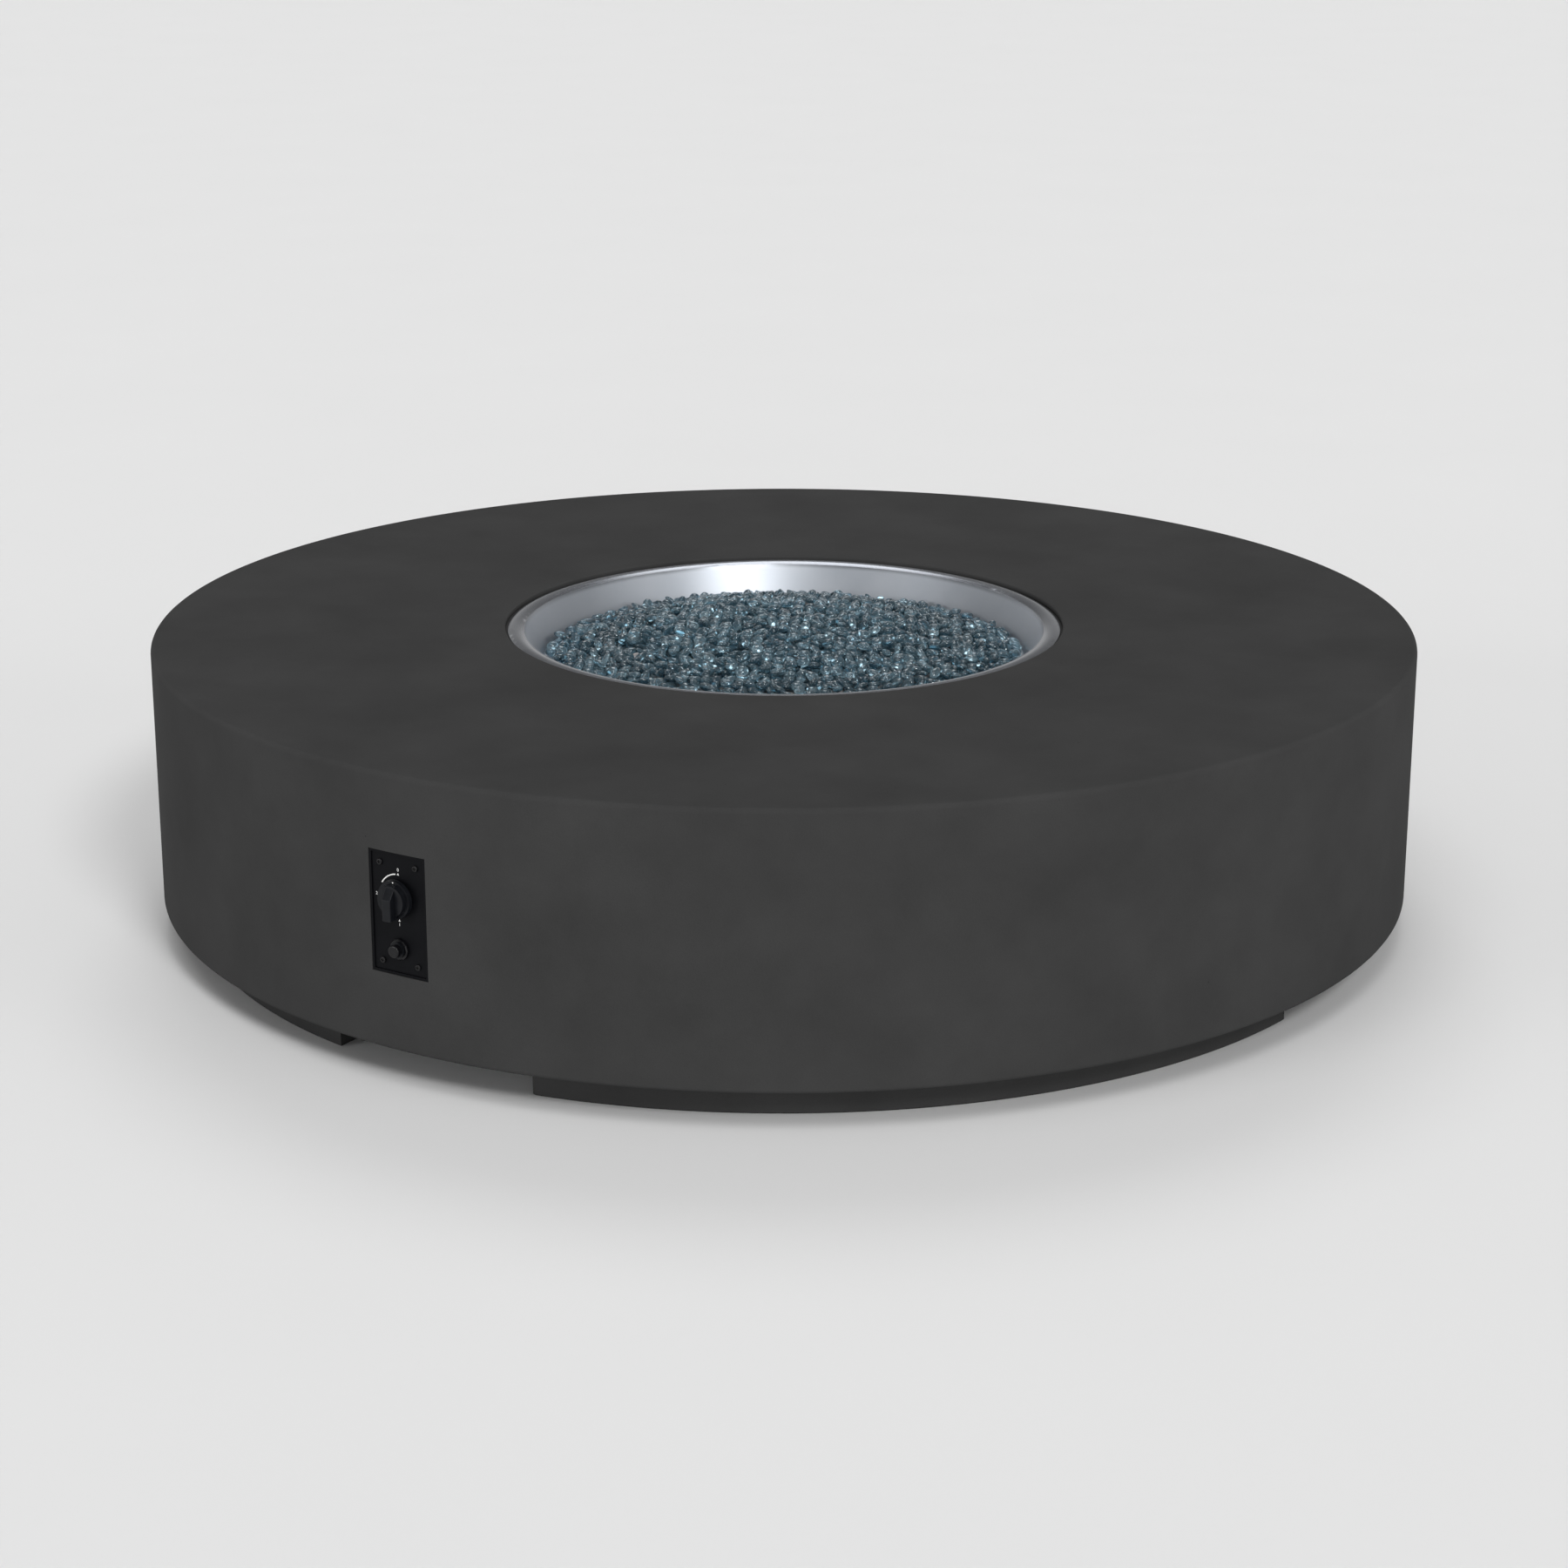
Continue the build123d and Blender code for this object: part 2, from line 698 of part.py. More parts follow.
with BuildPart() as hose_nuts:
    for joint in (
        Plane(origin=hose_start, x_dir=(1, 0, 0), z_dir=(0, 1, 0)),
        Plane(origin=hose_end, x_dir=(1, 0, 0), z_dir=(0, -1, 0)),
    ):
        with BuildSketch(joint.offset(-flare_grip)):
            RegularPolygon(hose_nut_apothem, 6, major_radius=False)
            Circle(flare_radius + fit, mode=Mode.SUBTRACT)
        extrude(amount=flare_grip)
        with BuildSketch(joint):
            RegularPolygon(hose_nut_apothem, 6, major_radius=False)
            Circle(hose_radius + fit, mode=Mode.SUBTRACT)
        extrude(amount=hose_grip)
hose_nuts.part.label = "hose_nuts"
export_step(hose_nuts.part, "parts/hose_nuts.step")

# Panel frame: a black steel sleeve through the wall, with a flange behind and four tabs for the plate
with BuildPart() as panel_frame:
    with BuildSketch(back_plane(frame_front_y, panel_z)):
        Rectangle(frame_width, frame_height)
        Rectangle(frame_width - 2 * frame_wall, frame_height - 2 * frame_wall, mode=Mode.SUBTRACT)
    extrude(amount=frame_back_y - frame_front_y)
    with BuildSketch(back_plane(boss_face_y, panel_z)):
        Rectangle(frame_width + 2 * frame_flange, frame_height + 2 * frame_flange)
        Rectangle(frame_width - 2 * frame_wall, frame_height - 2 * frame_wall, mode=Mode.SUBTRACT)
    extrude(amount=frame_flange_thickness)
    tab_x = frame_width - 2 * frame_wall - frame_tab
    tab_z = frame_height - 2 * frame_wall - frame_tab
    with BuildSketch(back_plane(panel_back_y, panel_z)):
        with GridLocations(tab_x, tab_z, 2, 2):
            Rectangle(frame_tab, frame_tab)
        with GridLocations(panel_screw_x, panel_screw_z, 2, 2):
            Circle(panel_screw_radius + fit, mode=Mode.SUBTRACT)
    extrude(amount=frame_tab_thickness)
    with BuildSketch(back_plane(boss_face_y, panel_z)):
        with GridLocations(frame_screw_x, frame_screw_z, 2, 2):
            Circle(frame_screw_radius + fit)
    extrude(amount=frame_flange_thickness, mode=Mode.SUBTRACT)
panel_frame.part.label = "panel_frame"
export_step(panel_frame.part, "parts/panel_frame.step")

with BuildPart() as control_panel:
    with BuildSketch(back_plane(panel_face_y, panel_z)):
        RectangleRounded(
            frame_width - 2 * (frame_wall + panel_gap),
            frame_height - 2 * (frame_wall + panel_gap),
            panel_corner,
        )
        with GridLocations(panel_screw_x, panel_screw_z, 2, 2):
            Circle(panel_screw_hole, mode=Mode.SUBTRACT)
        with Locations((0, knob_rise)):
            Circle(valve_neck_radius + fit, mode=Mode.SUBTRACT)
        with Locations((0, -igniter_drop)):
            Circle(igniter_neck_radius + fit, mode=Mode.SUBTRACT)
    extrude(amount=panel_thickness)
control_panel.part.label = "control_panel"
export_step(control_panel.part, "parts/control_panel.step")

with BuildPart() as panel_screws:
    with BuildSketch(panel_plane(panel_z)):
        with GridLocations(panel_screw_x, panel_screw_z, 2, 2) as panel_screw_grid:
            Circle(panel_screw_head_radius)
    extrude(amount=panel_screw_head)
    fillet(panel_screws.edges().group_by(Axis.Y)[0], panel_screw_head / 2)
    with BuildSketch(panel_plane(panel_z)):
        with GridLocations(panel_screw_x, panel_screw_z, 2, 2):
            Circle(panel_screw_radius)
    extrude(amount=-panel_screw_length)
    cut_cross_slots(
        panel_plane(panel_z, panel_screw_head),
        panel_screw_head_radius,
        panel_screw_head,
        panel_screw_grid.local_locations,
    )
panel_screws.part.label = "panel_screws"
export_step(panel_screws.part, "parts/panel_screws.step")

with BuildPart() as frame_screws:
    with BuildSketch(back_plane(frame_back_y, panel_z)):
        with GridLocations(frame_screw_x, frame_screw_z, 2, 2) as frame_screw_grid:
            Circle(frame_screw_head_radius)
    extrude(amount=frame_screw_head)
    fillet(frame_screws.edges().group_by(Axis.Y)[-1], frame_screw_head / 2)
    with BuildSketch(back_plane(frame_back_y, panel_z)):
        with GridLocations(frame_screw_x, frame_screw_z, 2, 2):
            Circle(frame_screw_radius)
    extrude(amount=-frame_screw_length)
    cut_cross_slots(
        back_plane(frame_back_y + frame_screw_head, panel_z),
        frame_screw_head_radius,
        frame_screw_head,
        frame_screw_grid.local_locations,
    )
frame_screws.part.label = "frame_screws"
export_step(frame_screws.part, "parts/frame_screws.step")

# Gas valve behind the panel
with BuildPart() as valve_body:
    with BuildSketch(back_plane(panel_back_y, knob_z)):
        Rectangle(valve_width, valve_height)
    extrude(amount=valve_back_y - panel_back_y)
    with BuildSketch(panel_plane(knob_z, valve_neck_proud)):
        Circle(valve_neck_radius)
    extrude(amount=-valve_neck_proud - panel_thickness)
    with BuildSketch(panel_plane(knob_z, valve_neck_proud)):
        Circle(stem_radius + fit)
    extrude(amount=-valve_neck_proud - panel_thickness - valve_nose, mode=Mode.SUBTRACT)
    with BuildSketch(back_plane(panel_back_y + valve_nose, knob_z)):
        Circle(spool_radius + fit)
    extrude(amount=valve_back_y - panel_back_y - valve_nose, mode=Mode.SUBTRACT)
    for side in (-1, 1):
        with BuildSketch(Plane(origin=(side * valve_width / 2, port_y, knob_z), z_dir=(side, 0, 0))):
            Circle(port_thread_radius + fit)
        extrude(amount=-port_thread, mode=Mode.SUBTRACT)
    with BuildSketch(Plane(origin=(-valve_width / 2, port_y, knob_z), z_dir=(1, 0, 0))):
        Circle(spool_port)
    extrude(amount=valve_width, mode=Mode.SUBTRACT)
valve_body.part.label = "valve_body"
export_step(valve_body.part, "parts/valve_body.step")

with BuildPart() as valve_cap:
    with BuildSketch(back_plane(valve_back_y, knob_z)):
        Circle(spool_radius)
    extrude(amount=-cap_plug)
    with BuildSketch(back_plane(valve_back_y, knob_z)):
        RegularPolygon(cap_apothem, 6, major_radius=False)
    extrude(amount=cap_hex)
valve_cap.part.label = "valve_cap"
export_step(valve_cap.part, "parts/valve_cap.step")

with BuildPart() as valve_locknut:
    with BuildSketch(panel_plane(knob_z)):
        RegularPolygon(valve_locknut_apothem, 6, major_radius=False)
        Circle(valve_neck_radius + fit, mode=Mode.SUBTRACT)
    extrude(amount=valve_locknut_thickness)
valve_locknut.part.label = "valve_locknut"
export_step(valve_locknut.part, "parts/valve_locknut.step")

with BuildPart() as valve_stem:
    with BuildSketch(panel_plane(knob_z, stem_proud)):
        Circle(stem_radius)
    extrude(amount=panel_face_y - stem_proud - spool_front_y)
    with BuildSketch(back_plane(spool_front_y, knob_z)):
        Circle(spool_radius)
    extrude(amount=spool_back_y - spool_front_y)
    # Flat on the shaft inside the knob, and the gas way across the spool, which stands shut at rest
    with BuildSketch(panel_plane(knob_z, stem_proud)):
        with Locations((0, stem_flat + stem_radius)):
            Rectangle(2 * stem_radius, 2 * stem_radius)
    extrude(amount=knob_recess_proud - stem_proud, mode=Mode.SUBTRACT)
    with BuildSketch(Plane(origin=(0, port_y, knob_z - spool_radius), z_dir=(0, 0, 1))):
        Circle(spool_port)
    extrude(amount=2 * spool_radius, mode=Mode.SUBTRACT)
valve_stem.part.label = "valve_stem"
export_step(valve_stem.part, "parts/valve_stem.step")

with BuildPart() as stem_collar:
    with BuildSketch(back_plane(spool_back_y, knob_z)):
        Circle(spool_radius)
    extrude(amount=collar)
stem_collar.part.label = "stem_collar"
export_step(stem_collar.part, "parts/stem_collar.step")

with BuildPart() as stem_spring:
    with BuildSketch(back_plane(spool_back_y + collar, knob_z)):
        Circle(spring_outer_radius)
        Circle(spring_inner_radius, mode=Mode.SUBTRACT)
    extrude(amount=spring_length)
stem_spring.part.label = "stem_spring"
export_step(stem_spring.part, "parts/stem_spring.step")

with BuildPart() as inlet_elbow:
    add_valve_elbow(-1, Plane(origin=(-elbow_reach, port_y, knob_z - elbow_block / 2), z_dir=(0, 0, -1)))
inlet_elbow.part.label = "inlet_elbow"
export_step(inlet_elbow.part, "parts/inlet_elbow.step")

with BuildPart() as outlet_elbow:
    add_valve_elbow(1, Plane(origin=(elbow_reach, port_y + elbow_block / 2, knob_z), z_dir=(0, 1, 0)))
outlet_elbow.part.label = "outlet_elbow"
export_step(outlet_elbow.part, "parts/outlet_elbow.step")

# Knob: skirt, hub and a grip blade that slopes down to the pointer end
blade_plane = Plane(origin=(0, panel_face_y, knob_z), x_dir=(0, -1, 0), z_dir=(-1, 0, 0))
blade_root_y = panel_face_y - knob_gap
with BuildPart() as control_knob:
    with BuildSketch(blade_plane):
        with BuildLine():
            Polyline(
                (knob_gap, -knob_radius),
                (knob_proud, -knob_radius),
                (knob_proud, knob_slope_start),
                (knob_nose_proud, knob_nose_reach),
                (knob_gap, knob_nose_reach),
                close=True,
            )
        make_face()
    extrude(amount=knob_blade_width / 2, both=True)
    with BuildSketch(panel_plane(knob_z, knob_gap)):
        Circle(knob_radius - knob_edge / 2)
    extrude(amount=knob_proud, mode=Mode.INTERSECT)
    grip_edges = control_knob.edges().filter_by(lambda edge: edge.center().Y < blade_root_y - knob_edge)
    fillet(grip_edges, knob_edge)
    with BuildSketch(panel_plane(knob_z, knob_gap)):
        Circle(knob_hub_radius)
    extrude(amount=knob_hub_proud - knob_gap, taper=knob_hub_taper)
    with BuildSketch(panel_plane(knob_z, knob_gap)):
        Circle(knob_radius)
    extrude(amount=knob_skirt, taper=knob_skirt_taper)
    with BuildSketch(panel_plane(knob_z, knob_gap + knob_skirt)):
        with Locations((0, pointer_place)):
            Circle(pointer_radius)
    extrude(amount=-pointer_depth, mode=Mode.SUBTRACT)
    with BuildSketch(panel_plane(knob_z, knob_gap)):
        Circle(knob_recess_radius)
    extrude(amount=knob_recess_proud - knob_gap, mode=Mode.SUBTRACT)
    with BuildSketch(panel_plane(knob_z, knob_recess_proud)):
        Circle(stem_radius + fit)
        with Locations((0, stem_flat + fit + stem_radius)):
            Rectangle(3 * stem_radius, 2 * stem_radius, mode=Mode.SUBTRACT)
    extrude(amount=stem_proud + fit - knob_recess_proud, mode=Mode.SUBTRACT)
control_knob.part.label = "control_knob"
export_step(control_knob.part, "parts/control_knob.step")

# Igniter: barrel held by a faceted bezel on the panel, with its button, spring and battery
with BuildPart() as igniter_barrel:
    with BuildSketch(back_plane(panel_back_y, igniter_z)):
        Circle(igniter_body_radius)
    extrude(amount=igniter_body_length)
    with BuildSketch(panel_plane(igniter_z, igniter_neck_proud)):
        Circle(igniter_neck_radius)
    extrude(amount=-igniter_neck_proud - panel_thickness)
    with BuildSketch(panel_plane(igniter_z, igniter_neck_proud)):
        Circle(igniter_neck_bore)
    extrude(amount=-igniter_neck_proud - panel_thickness, mode=Mode.SUBTRACT)
    with BuildSketch(back_plane(panel_back_y, igniter_z)):
        Circle(igniter_bore)
    extrude(amount=igniter_body_length - igniter_rear_wall, mode=Mode.SUBTRACT)
    with BuildSketch(back_plane(igniter_back_y, igniter_z)):
        Circle(wire_radius + fit)
    extrude(amount=-igniter_rear_wall, mode=Mode.SUBTRACT)
igniter_barrel.part.label = "igniter_barrel"
export_step(igniter_barrel.part, "parts/igniter_barrel.step")

with BuildPart() as igniter_bezel:
    with BuildSketch(panel_plane(igniter_z)):
        RegularPolygon(bezel_radius, bezel_sides)
        Circle(igniter_neck_radius + fit, mode=Mode.SUBTRACT)
    extrude(amount=bezel_thickness)
    chamfer(igniter_bezel.faces().sort_by(Axis.Y)[0].outer_wire().edges(), bezel_chamfer)
igniter_bezel.part.label = "igniter_bezel"
export_step(igniter_bezel.part, "parts/igniter_bezel.step")

button_flange_y = panel_back_y + button_stop
button_spring_y = button_flange_y + button_flange
with BuildPart() as igniter_button:
    with BuildSketch(panel_plane(igniter_z, button_proud)):
        Circle(button_radius)
    extrude(amount=-(button_proud - panel_face_y + button_spring_y))
    fillet(igniter_button.edges().group_by(Axis.Y)[0], button_round)
    with BuildSketch(back_plane(button_flange_y, igniter_z)):
        Circle(button_flange_radius)
    extrude(amount=button_flange)
igniter_button.part.label = "igniter_button"
export_step(igniter_button.part, "parts/igniter_button.step")

with BuildPart() as igniter_spring:
    with BuildSketch(back_plane(button_spring_y, igniter_z)):
        Circle(button_spring_outer)
        Circle(button_spring_inner, mode=Mode.SUBTRACT)
    extrude(amount=button_spring_length)
igniter_spring.part.label = "igniter_spring"
export_step(igniter_spring.part, "parts/igniter_spring.step")

battery_y = button_spring_y + button_spring_length
with BuildPart() as igniter_battery:
    with BuildSketch(back_plane(battery_y, igniter_z)):
        Circle(battery_radius)
    extrude(amount=battery_length)
    with BuildSketch(back_plane(battery_y + battery_length, igniter_z)):
        Circle(battery_tip_radius)
    extrude(amount=battery_tip)
igniter_battery.part.label = "igniter_battery"
export_step(igniter_battery.part, "parts/igniter_battery.step")

# Spark lead, clipped to the hose
wire_radii = bend_radii(wire_points)
with BuildPart() as ignition_wire:
    with BuildLine() as wire_route:
        FilletPolyline(*wire_points, radius=wire_radii)
    with BuildSketch(Plane(origin=wire_start, z_dir=(0, 1, 0))):
        Circle(wire_radius)
    sweep(path=wire_route.wires()[0])
ignition_wire.part.label = "ignition_wire"
export_step(ignition_wire.part, "parts/ignition_wire.step")

with BuildPart() as wire_clips:
    for run_start, run_end in zip(shared_points, shared_points[1:]):
        along = (run_end - run_start).normalized()
        across = wire_offset - along * wire_offset.dot(along)
        middle = (run_start + run_end) * 0.5 - along * (clip_length / 2)
        with BuildSketch(Plane(origin=middle, x_dir=across, z_dir=along)):
            with BuildSketch(mode=Mode.PRIVATE) as clip_outline:
                Circle(hose_radius + hold + clip_wall)
                with Locations((across.length, 0)):
                    Circle(wire_radius + hold + clip_wall)
            make_hull(clip_outline.edges())
            Circle(hose_radius + hold, mode=Mode.SUBTRACT)
            with Locations((across.length, 0)):
                Circle(wire_radius + hold, mode=Mode.SUBTRACT)
        extrude(amount=clip_length)
wire_clips.part.label = "wire_clips"
export_step(wire_clips.part, "parts/wire_clips.step")

# Spark electrode, clamped under the pan's floor beside the inner burner ring
electrode_plane = Plane(
    origin=(electrode_x, electrode_y, pan_bottom_z),
    x_dir=(-electrode_out.Y, electrode_out.X, 0),
    z_dir=(0, 0, 1),
)
with BuildPart() as electrode_boot:
    with BuildSketch(electrode_plane.offset(-electrode_tail - boot_length / 2)):
        Circle(boot_radius)
    extrude(amount=boot_length)
    with BuildSketch(electrode_plane.offset(-electrode_tail)):
        Circle(wire_radius + fit)
    extrude(amount=-boot_length / 2, mode=Mode.SUBTRACT)
    with BuildSketch(electrode_plane.offset(-electrode_tail)):
        Circle(electrode_radius + fit)
    extrude(amount=boot_length / 2, mode=Mode.SUBTRACT)
electrode_boot.part.label = "electrode_boot"
export_step(electrode_boot.part, "parts/electrode_boot.step")

with BuildPart() as electrode_insulator:
    with BuildSketch(electrode_plane.offset(-insulator_below)):
        Circle(insulator_radius)
    extrude(amount=insulator_below + pan_sheet + insulator_above)
    with BuildSketch(electrode_plane):
        Circle(insulator_collar_radius)
    extrude(amount=-insulator_collar)
    with BuildSketch(electrode_plane.offset(-insulator_below)):
        Circle(electrode_radius + fit)
    extrude(amount=insulator_below + pan_sheet + insulator_above, mode=Mode.SUBTRACT)
electrode_insulator.part.label = "electrode_insulator"
export_step(electrode_insulator.part, "parts/electrode_insulator.step")

with BuildPart() as electrode_rod:
    with BuildLine() as electrode_route:
        FilletPolyline(
            wire_end,
            Vector(electrode_x, electrode_y, electrode_tip_z),
            electrode_out * electrode_tip_radius + Vector(0, 0, electrode_tip_z),
            radius=electrode_bend,
        )
    with BuildSketch(Plane(origin=wire_end, z_dir=(0, 0, 1))):
        Circle(electrode_radius)
    sweep(path=electrode_route.wires()[0])
electrode_rod.part.label = "electrode_rod"
export_step(electrode_rod.part, "parts/electrode_rod.step")

with BuildPart() as electrode_bracket:
    with BuildSketch(electrode_plane):
        RectangleRounded(bracket_length, bracket_width, bracket_corner)
        Circle(insulator_radius + insulator_room, mode=Mode.SUBTRACT)
        with GridLocations(bracket_screw_spacing, 0, 2, 1):
            Circle(bracket_screw_hole, mode=Mode.SUBTRACT)
    extrude(amount=-bracket_thickness)
    with BuildSketch(electrode_plane):
        Circle(insulator_collar_radius + fit)
    extrude(amount=-insulator_collar, mode=Mode.SUBTRACT)
electrode_bracket.part.label = "electrode_bracket"
export_step(electrode_bracket.part, "parts/electrode_bracket.step")

with BuildPart() as bracket_screws:
    with BuildSketch(electrode_plane.offset(-bracket_thickness)):
        with GridLocations(bracket_screw_spacing, 0, 2, 1):
            Circle(bracket_screw_head_radius)
    extrude(amount=-bracket_screw_head)
    with BuildSketch(electrode_plane.offset(-bracket_thickness)):
        with GridLocations(bracket_screw_spacing, 0, 2, 1):
            Circle(bracket_screw_radius)
    extrude(amount=bracket_thickness + pan_sheet)
bracket_screws.part.label = "bracket_screws"
export_step(bracket_screws.part, "parts/bracket_screws.step")

# Glass bed: a domed heap on the pan's floor, with room for the burner and the electrode
bed_top_z = floor_z + bed_height
ring_channel = burner_tube_radius + bed_clear
spoke_channel = spoke_radius + bed_clear
shoulder_radius = outer_ring_radius + ring_channel
shoulder_z = burner_z + ring_channel + bed_cover
bed_crown = bed_top_z - shoulder_z
bed_sphere = (shoulder_radius**2 + bed_crown**2) / (2 * bed_crown)
bed_half_z = bed_top_z - bed_sphere + math.sqrt(bed_sphere**2 - (shoulder_radius / 2) ** 2)
with BuildPart() as glass_bed:
    with BuildSketch(Plane.XZ):
        with BuildLine():
            Polyline(
                (0, bed_top_z),
                (0, floor_z),
                (bed_radius, floor_z),
                (bed_radius, floor_z + bed_edge),
                (shoulder_radius, shoulder_z),
            )
            ThreePointArc((shoulder_radius, shoulder_z), (shoulder_radius / 2, bed_half_z), (0, bed_top_z))
        make_face()
    revolve(axis=Axis.Z)
    for ring_radius in (inner_ring_radius, outer_ring_radius):
        with BuildSketch(Plane.XZ):
            with Locations((ring_radius, burner_z)):
                Circle(ring_channel)
                Rectangle(2 * ring_channel, burner_z - floor_z, align=(Align.CENTER, Align.MAX))
        revolve(axis=Axis.Z, mode=Mode.SUBTRACT)
    for number in range(spoke_count):
        angle = math.radians(spoke_start + 360 * number / spoke_count)
        out = Vector(math.cos(angle), math.sin(angle), 0)
        with BuildSketch(Plane(origin=(0, 0, burner_z), x_dir=(-out.Y, out.X, 0), z_dir=out)):
            Circle(spoke_channel)
            Rectangle(2 * spoke_channel, burner_z - floor_z, align=(Align.CENTER, Align.MAX))
        extrude(amount=outer_ring_radius, mode=Mode.SUBTRACT)
    with BuildSketch(Plane.XY.offset(floor_z)):
        Circle(hub_radius + bed_clear)
    extrude(amount=burner_top_z + bed_clear - floor_z, mode=Mode.SUBTRACT)
    with BuildSketch(Plane(origin=(0, 0, floor_z), x_dir=electrode_out, z_dir=(0, 0, 1))):
        with Locations((inner_ring_radius, 0)):
            Rectangle(
                electrode_circle + electrode_pocket_margin - inner_ring_radius,
                electrode_pocket_width,
                align=(Align.MIN, Align.CENTER),
            )
    extrude(amount=electrode_pocket_height, mode=Mode.SUBTRACT)
glass_bed.part.label = "glass_bed"
export_step(glass_bed.part, "parts/glass_bed.step")

for route_name, radii, route, solid, section in (
    ("gas_hose", hose_radii, hose_route, gas_hose, math.pi * (hose_radius**2 - hose_bore**2)),
    ("ignition_wire", wire_radii, wire_route, ignition_wire, math.pi * wire_radius**2),
):
    length = route.wires()[0].length
    print(route_name, "bend radii", [round(radius) for radius in radii], "length", round(length))
    print(route_name, "volume", round(solid.part.volume), "section times length", round(section * length))
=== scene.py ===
"""Looks of a round concrete gas fire table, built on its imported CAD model. Metres, in the CAD frame."""
import math
import random

import bpy
import numpy as np
from mathutils import Euler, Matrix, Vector, kdtree


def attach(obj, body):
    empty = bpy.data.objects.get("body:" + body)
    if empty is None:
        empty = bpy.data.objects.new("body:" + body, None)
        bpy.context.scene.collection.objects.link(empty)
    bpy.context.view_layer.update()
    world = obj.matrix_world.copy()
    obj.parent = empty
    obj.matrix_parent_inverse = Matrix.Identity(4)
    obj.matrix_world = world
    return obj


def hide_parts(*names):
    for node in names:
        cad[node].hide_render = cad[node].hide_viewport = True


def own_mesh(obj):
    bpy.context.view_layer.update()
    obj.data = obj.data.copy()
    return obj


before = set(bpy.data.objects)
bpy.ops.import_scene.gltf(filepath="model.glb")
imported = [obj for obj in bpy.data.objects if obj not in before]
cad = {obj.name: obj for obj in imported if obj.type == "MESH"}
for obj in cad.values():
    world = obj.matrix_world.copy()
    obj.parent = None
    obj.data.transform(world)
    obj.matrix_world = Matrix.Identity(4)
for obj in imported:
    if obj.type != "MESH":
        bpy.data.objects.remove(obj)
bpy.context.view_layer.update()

MM = 0.001

# Places and sizes shared with the part's source
PANEL_FACE_Y = -759 * MM
KNOB_Z = 213.6 * MM
IGNITER_Z = 156.5 * MM
SKIRT_PROUD = 9.5 * MM
POINTER_PLACE = 19.2 * MM
FLOOR_Z = 302.6 * MM
BURNER_Z = 312.6 * MM
TUBE_RADIUS = 8.6 * MM
INNER_RING = 110 * MM
OUTER_RING = 215 * MM
SPOKE_RADIUS = 7 * MM
SPOKE_ANGLES = (45, 135, 225, 315)
HUB_RADIUS = 20 * MM
BED_RADIUS = 287 * MM
BED_TOP_Z = 353 * MM
SHOULDER_RADIUS = 224 * MM
SHOULDER_Z = 326.2 * MM
ELECTRODE_ANGLE = math.radians(-102.8)
ELECTRODE_CIRCLE = 135.4 * MM
STEM_SPRING_Y = (-692 * MM, -680 * MM)
BUTTON_SPRING_Y = (-754.7 * MM, -748.7 * MM)
CELL_BAND_Y = -712 * MM
# The pan's wall turns into its lip between these radii
LIP_START = 314 * MM
LIP_FULL = 318 * MM


def linear(colour):
    """An sRGB hex colour as linear red, green, blue and alpha."""
    channels = [int(colour[i:i + 2], 16) / 255 for i in (1, 3, 5)]
    return (*[c / 12.92 if c <= 0.04045 else ((c + 0.055) / 1.055) ** 2.4 for c in channels], 1.0)


def per(size_mm):
    """Pattern scale whose features are about that many millimetres across."""
    return 1 / (size_mm * MM)


def add_node(tree, kind, inputs=None, **settings):
    """Adds a node with its settings. Each input is a value, or an output to link from.

    A colour Mix takes its share at input 0 and its two colours at 6 and 7, and gives output 2.
    """
    made = tree.nodes.new(kind)
    for name, value in settings.items():
        setattr(made, name, value)
    for name, value in (inputs or {}).items():
        if isinstance(value, bpy.types.NodeSocket):
            tree.links.new(value, made.inputs[name])
        else:
            made.inputs[name].default_value = value
    return made


def start_material(name, values):
    """A new material with constant shader values. Gives it, its tree, its shader and Object coordinates."""
    material = bpy.data.materials.new(name)
    material.use_nodes = True
    tree = material.node_tree
    shader = tree.nodes["Principled BSDF"]
    for socket, value in values.items():
        shader.inputs[socket].default_value = value
    return material, tree, shader, add_node(tree, "ShaderNodeTexCoord").outputs["Object"]


# Cast glass-fibre concrete, dyed charcoal and sealed matt: an even dark grey, faint clouds from the pour,
# fine sand, and a few pinholes left by air, each painted near black as painted shade in the hole. The sand is
# drawn a little coarse so that it shows.
charcoal_concrete, tree, shader, place = start_material(
    "charcoal_concrete", {"IOR": 1.5, "Specular IOR Level": 0.05}
)
cloud = add_node(
    tree, "ShaderNodeTexNoise", {"Vector": place, "Scale": per(160), "Detail": 4.0, "Roughness": 0.6}
)
sand = add_node(tree, "ShaderNodeTexNoise", {"Vector": place, "Scale": per(1.6), "Detail": 3.0})
pour = add_node(
    tree, "ShaderNodeMapRange", {"Value": cloud.outputs["Fac"], "From Min": 0.3, "From Max": 0.7}
)
body_tone = add_node(
    tree, "ShaderNodeMix",
    {0: pour.outputs[0], 6: linear("#383838"), 7: linear("#404040")}, data_type="RGBA"
)
sand_tone = add_node(
    tree, "ShaderNodeMix",
    {0: sand.outputs["Fac"], 6: linear("#ececec"), 7: linear("#ffffff")}, data_type="RGBA"
)
sanded = add_node(
    tree, "ShaderNodeMix",
    {0: 1.0, 6: body_tone.outputs[2], 7: sand_tone.outputs[2]}, data_type="RGBA", blend_type="MULTIPLY"
)
air = add_node(tree, "ShaderNodeTexVoronoi", {"Vector": place, "Scale": per(38)})
thin = add_node(tree, "ShaderNodeTexNoise", {"Vector": place, "Scale": per(70)})
hole = add_node(
    tree, "ShaderNodeMapRange",
    {"Value": air.outputs["Distance"], "From Min": 0.012, "From Max": 0.03, "To Min": 1.0, "To Max": 0.0}
)
some = add_node(
    tree, "ShaderNodeMapRange", {"Value": thin.outputs["Fac"], "From Min": 0.5, "From Max": 0.58}
)
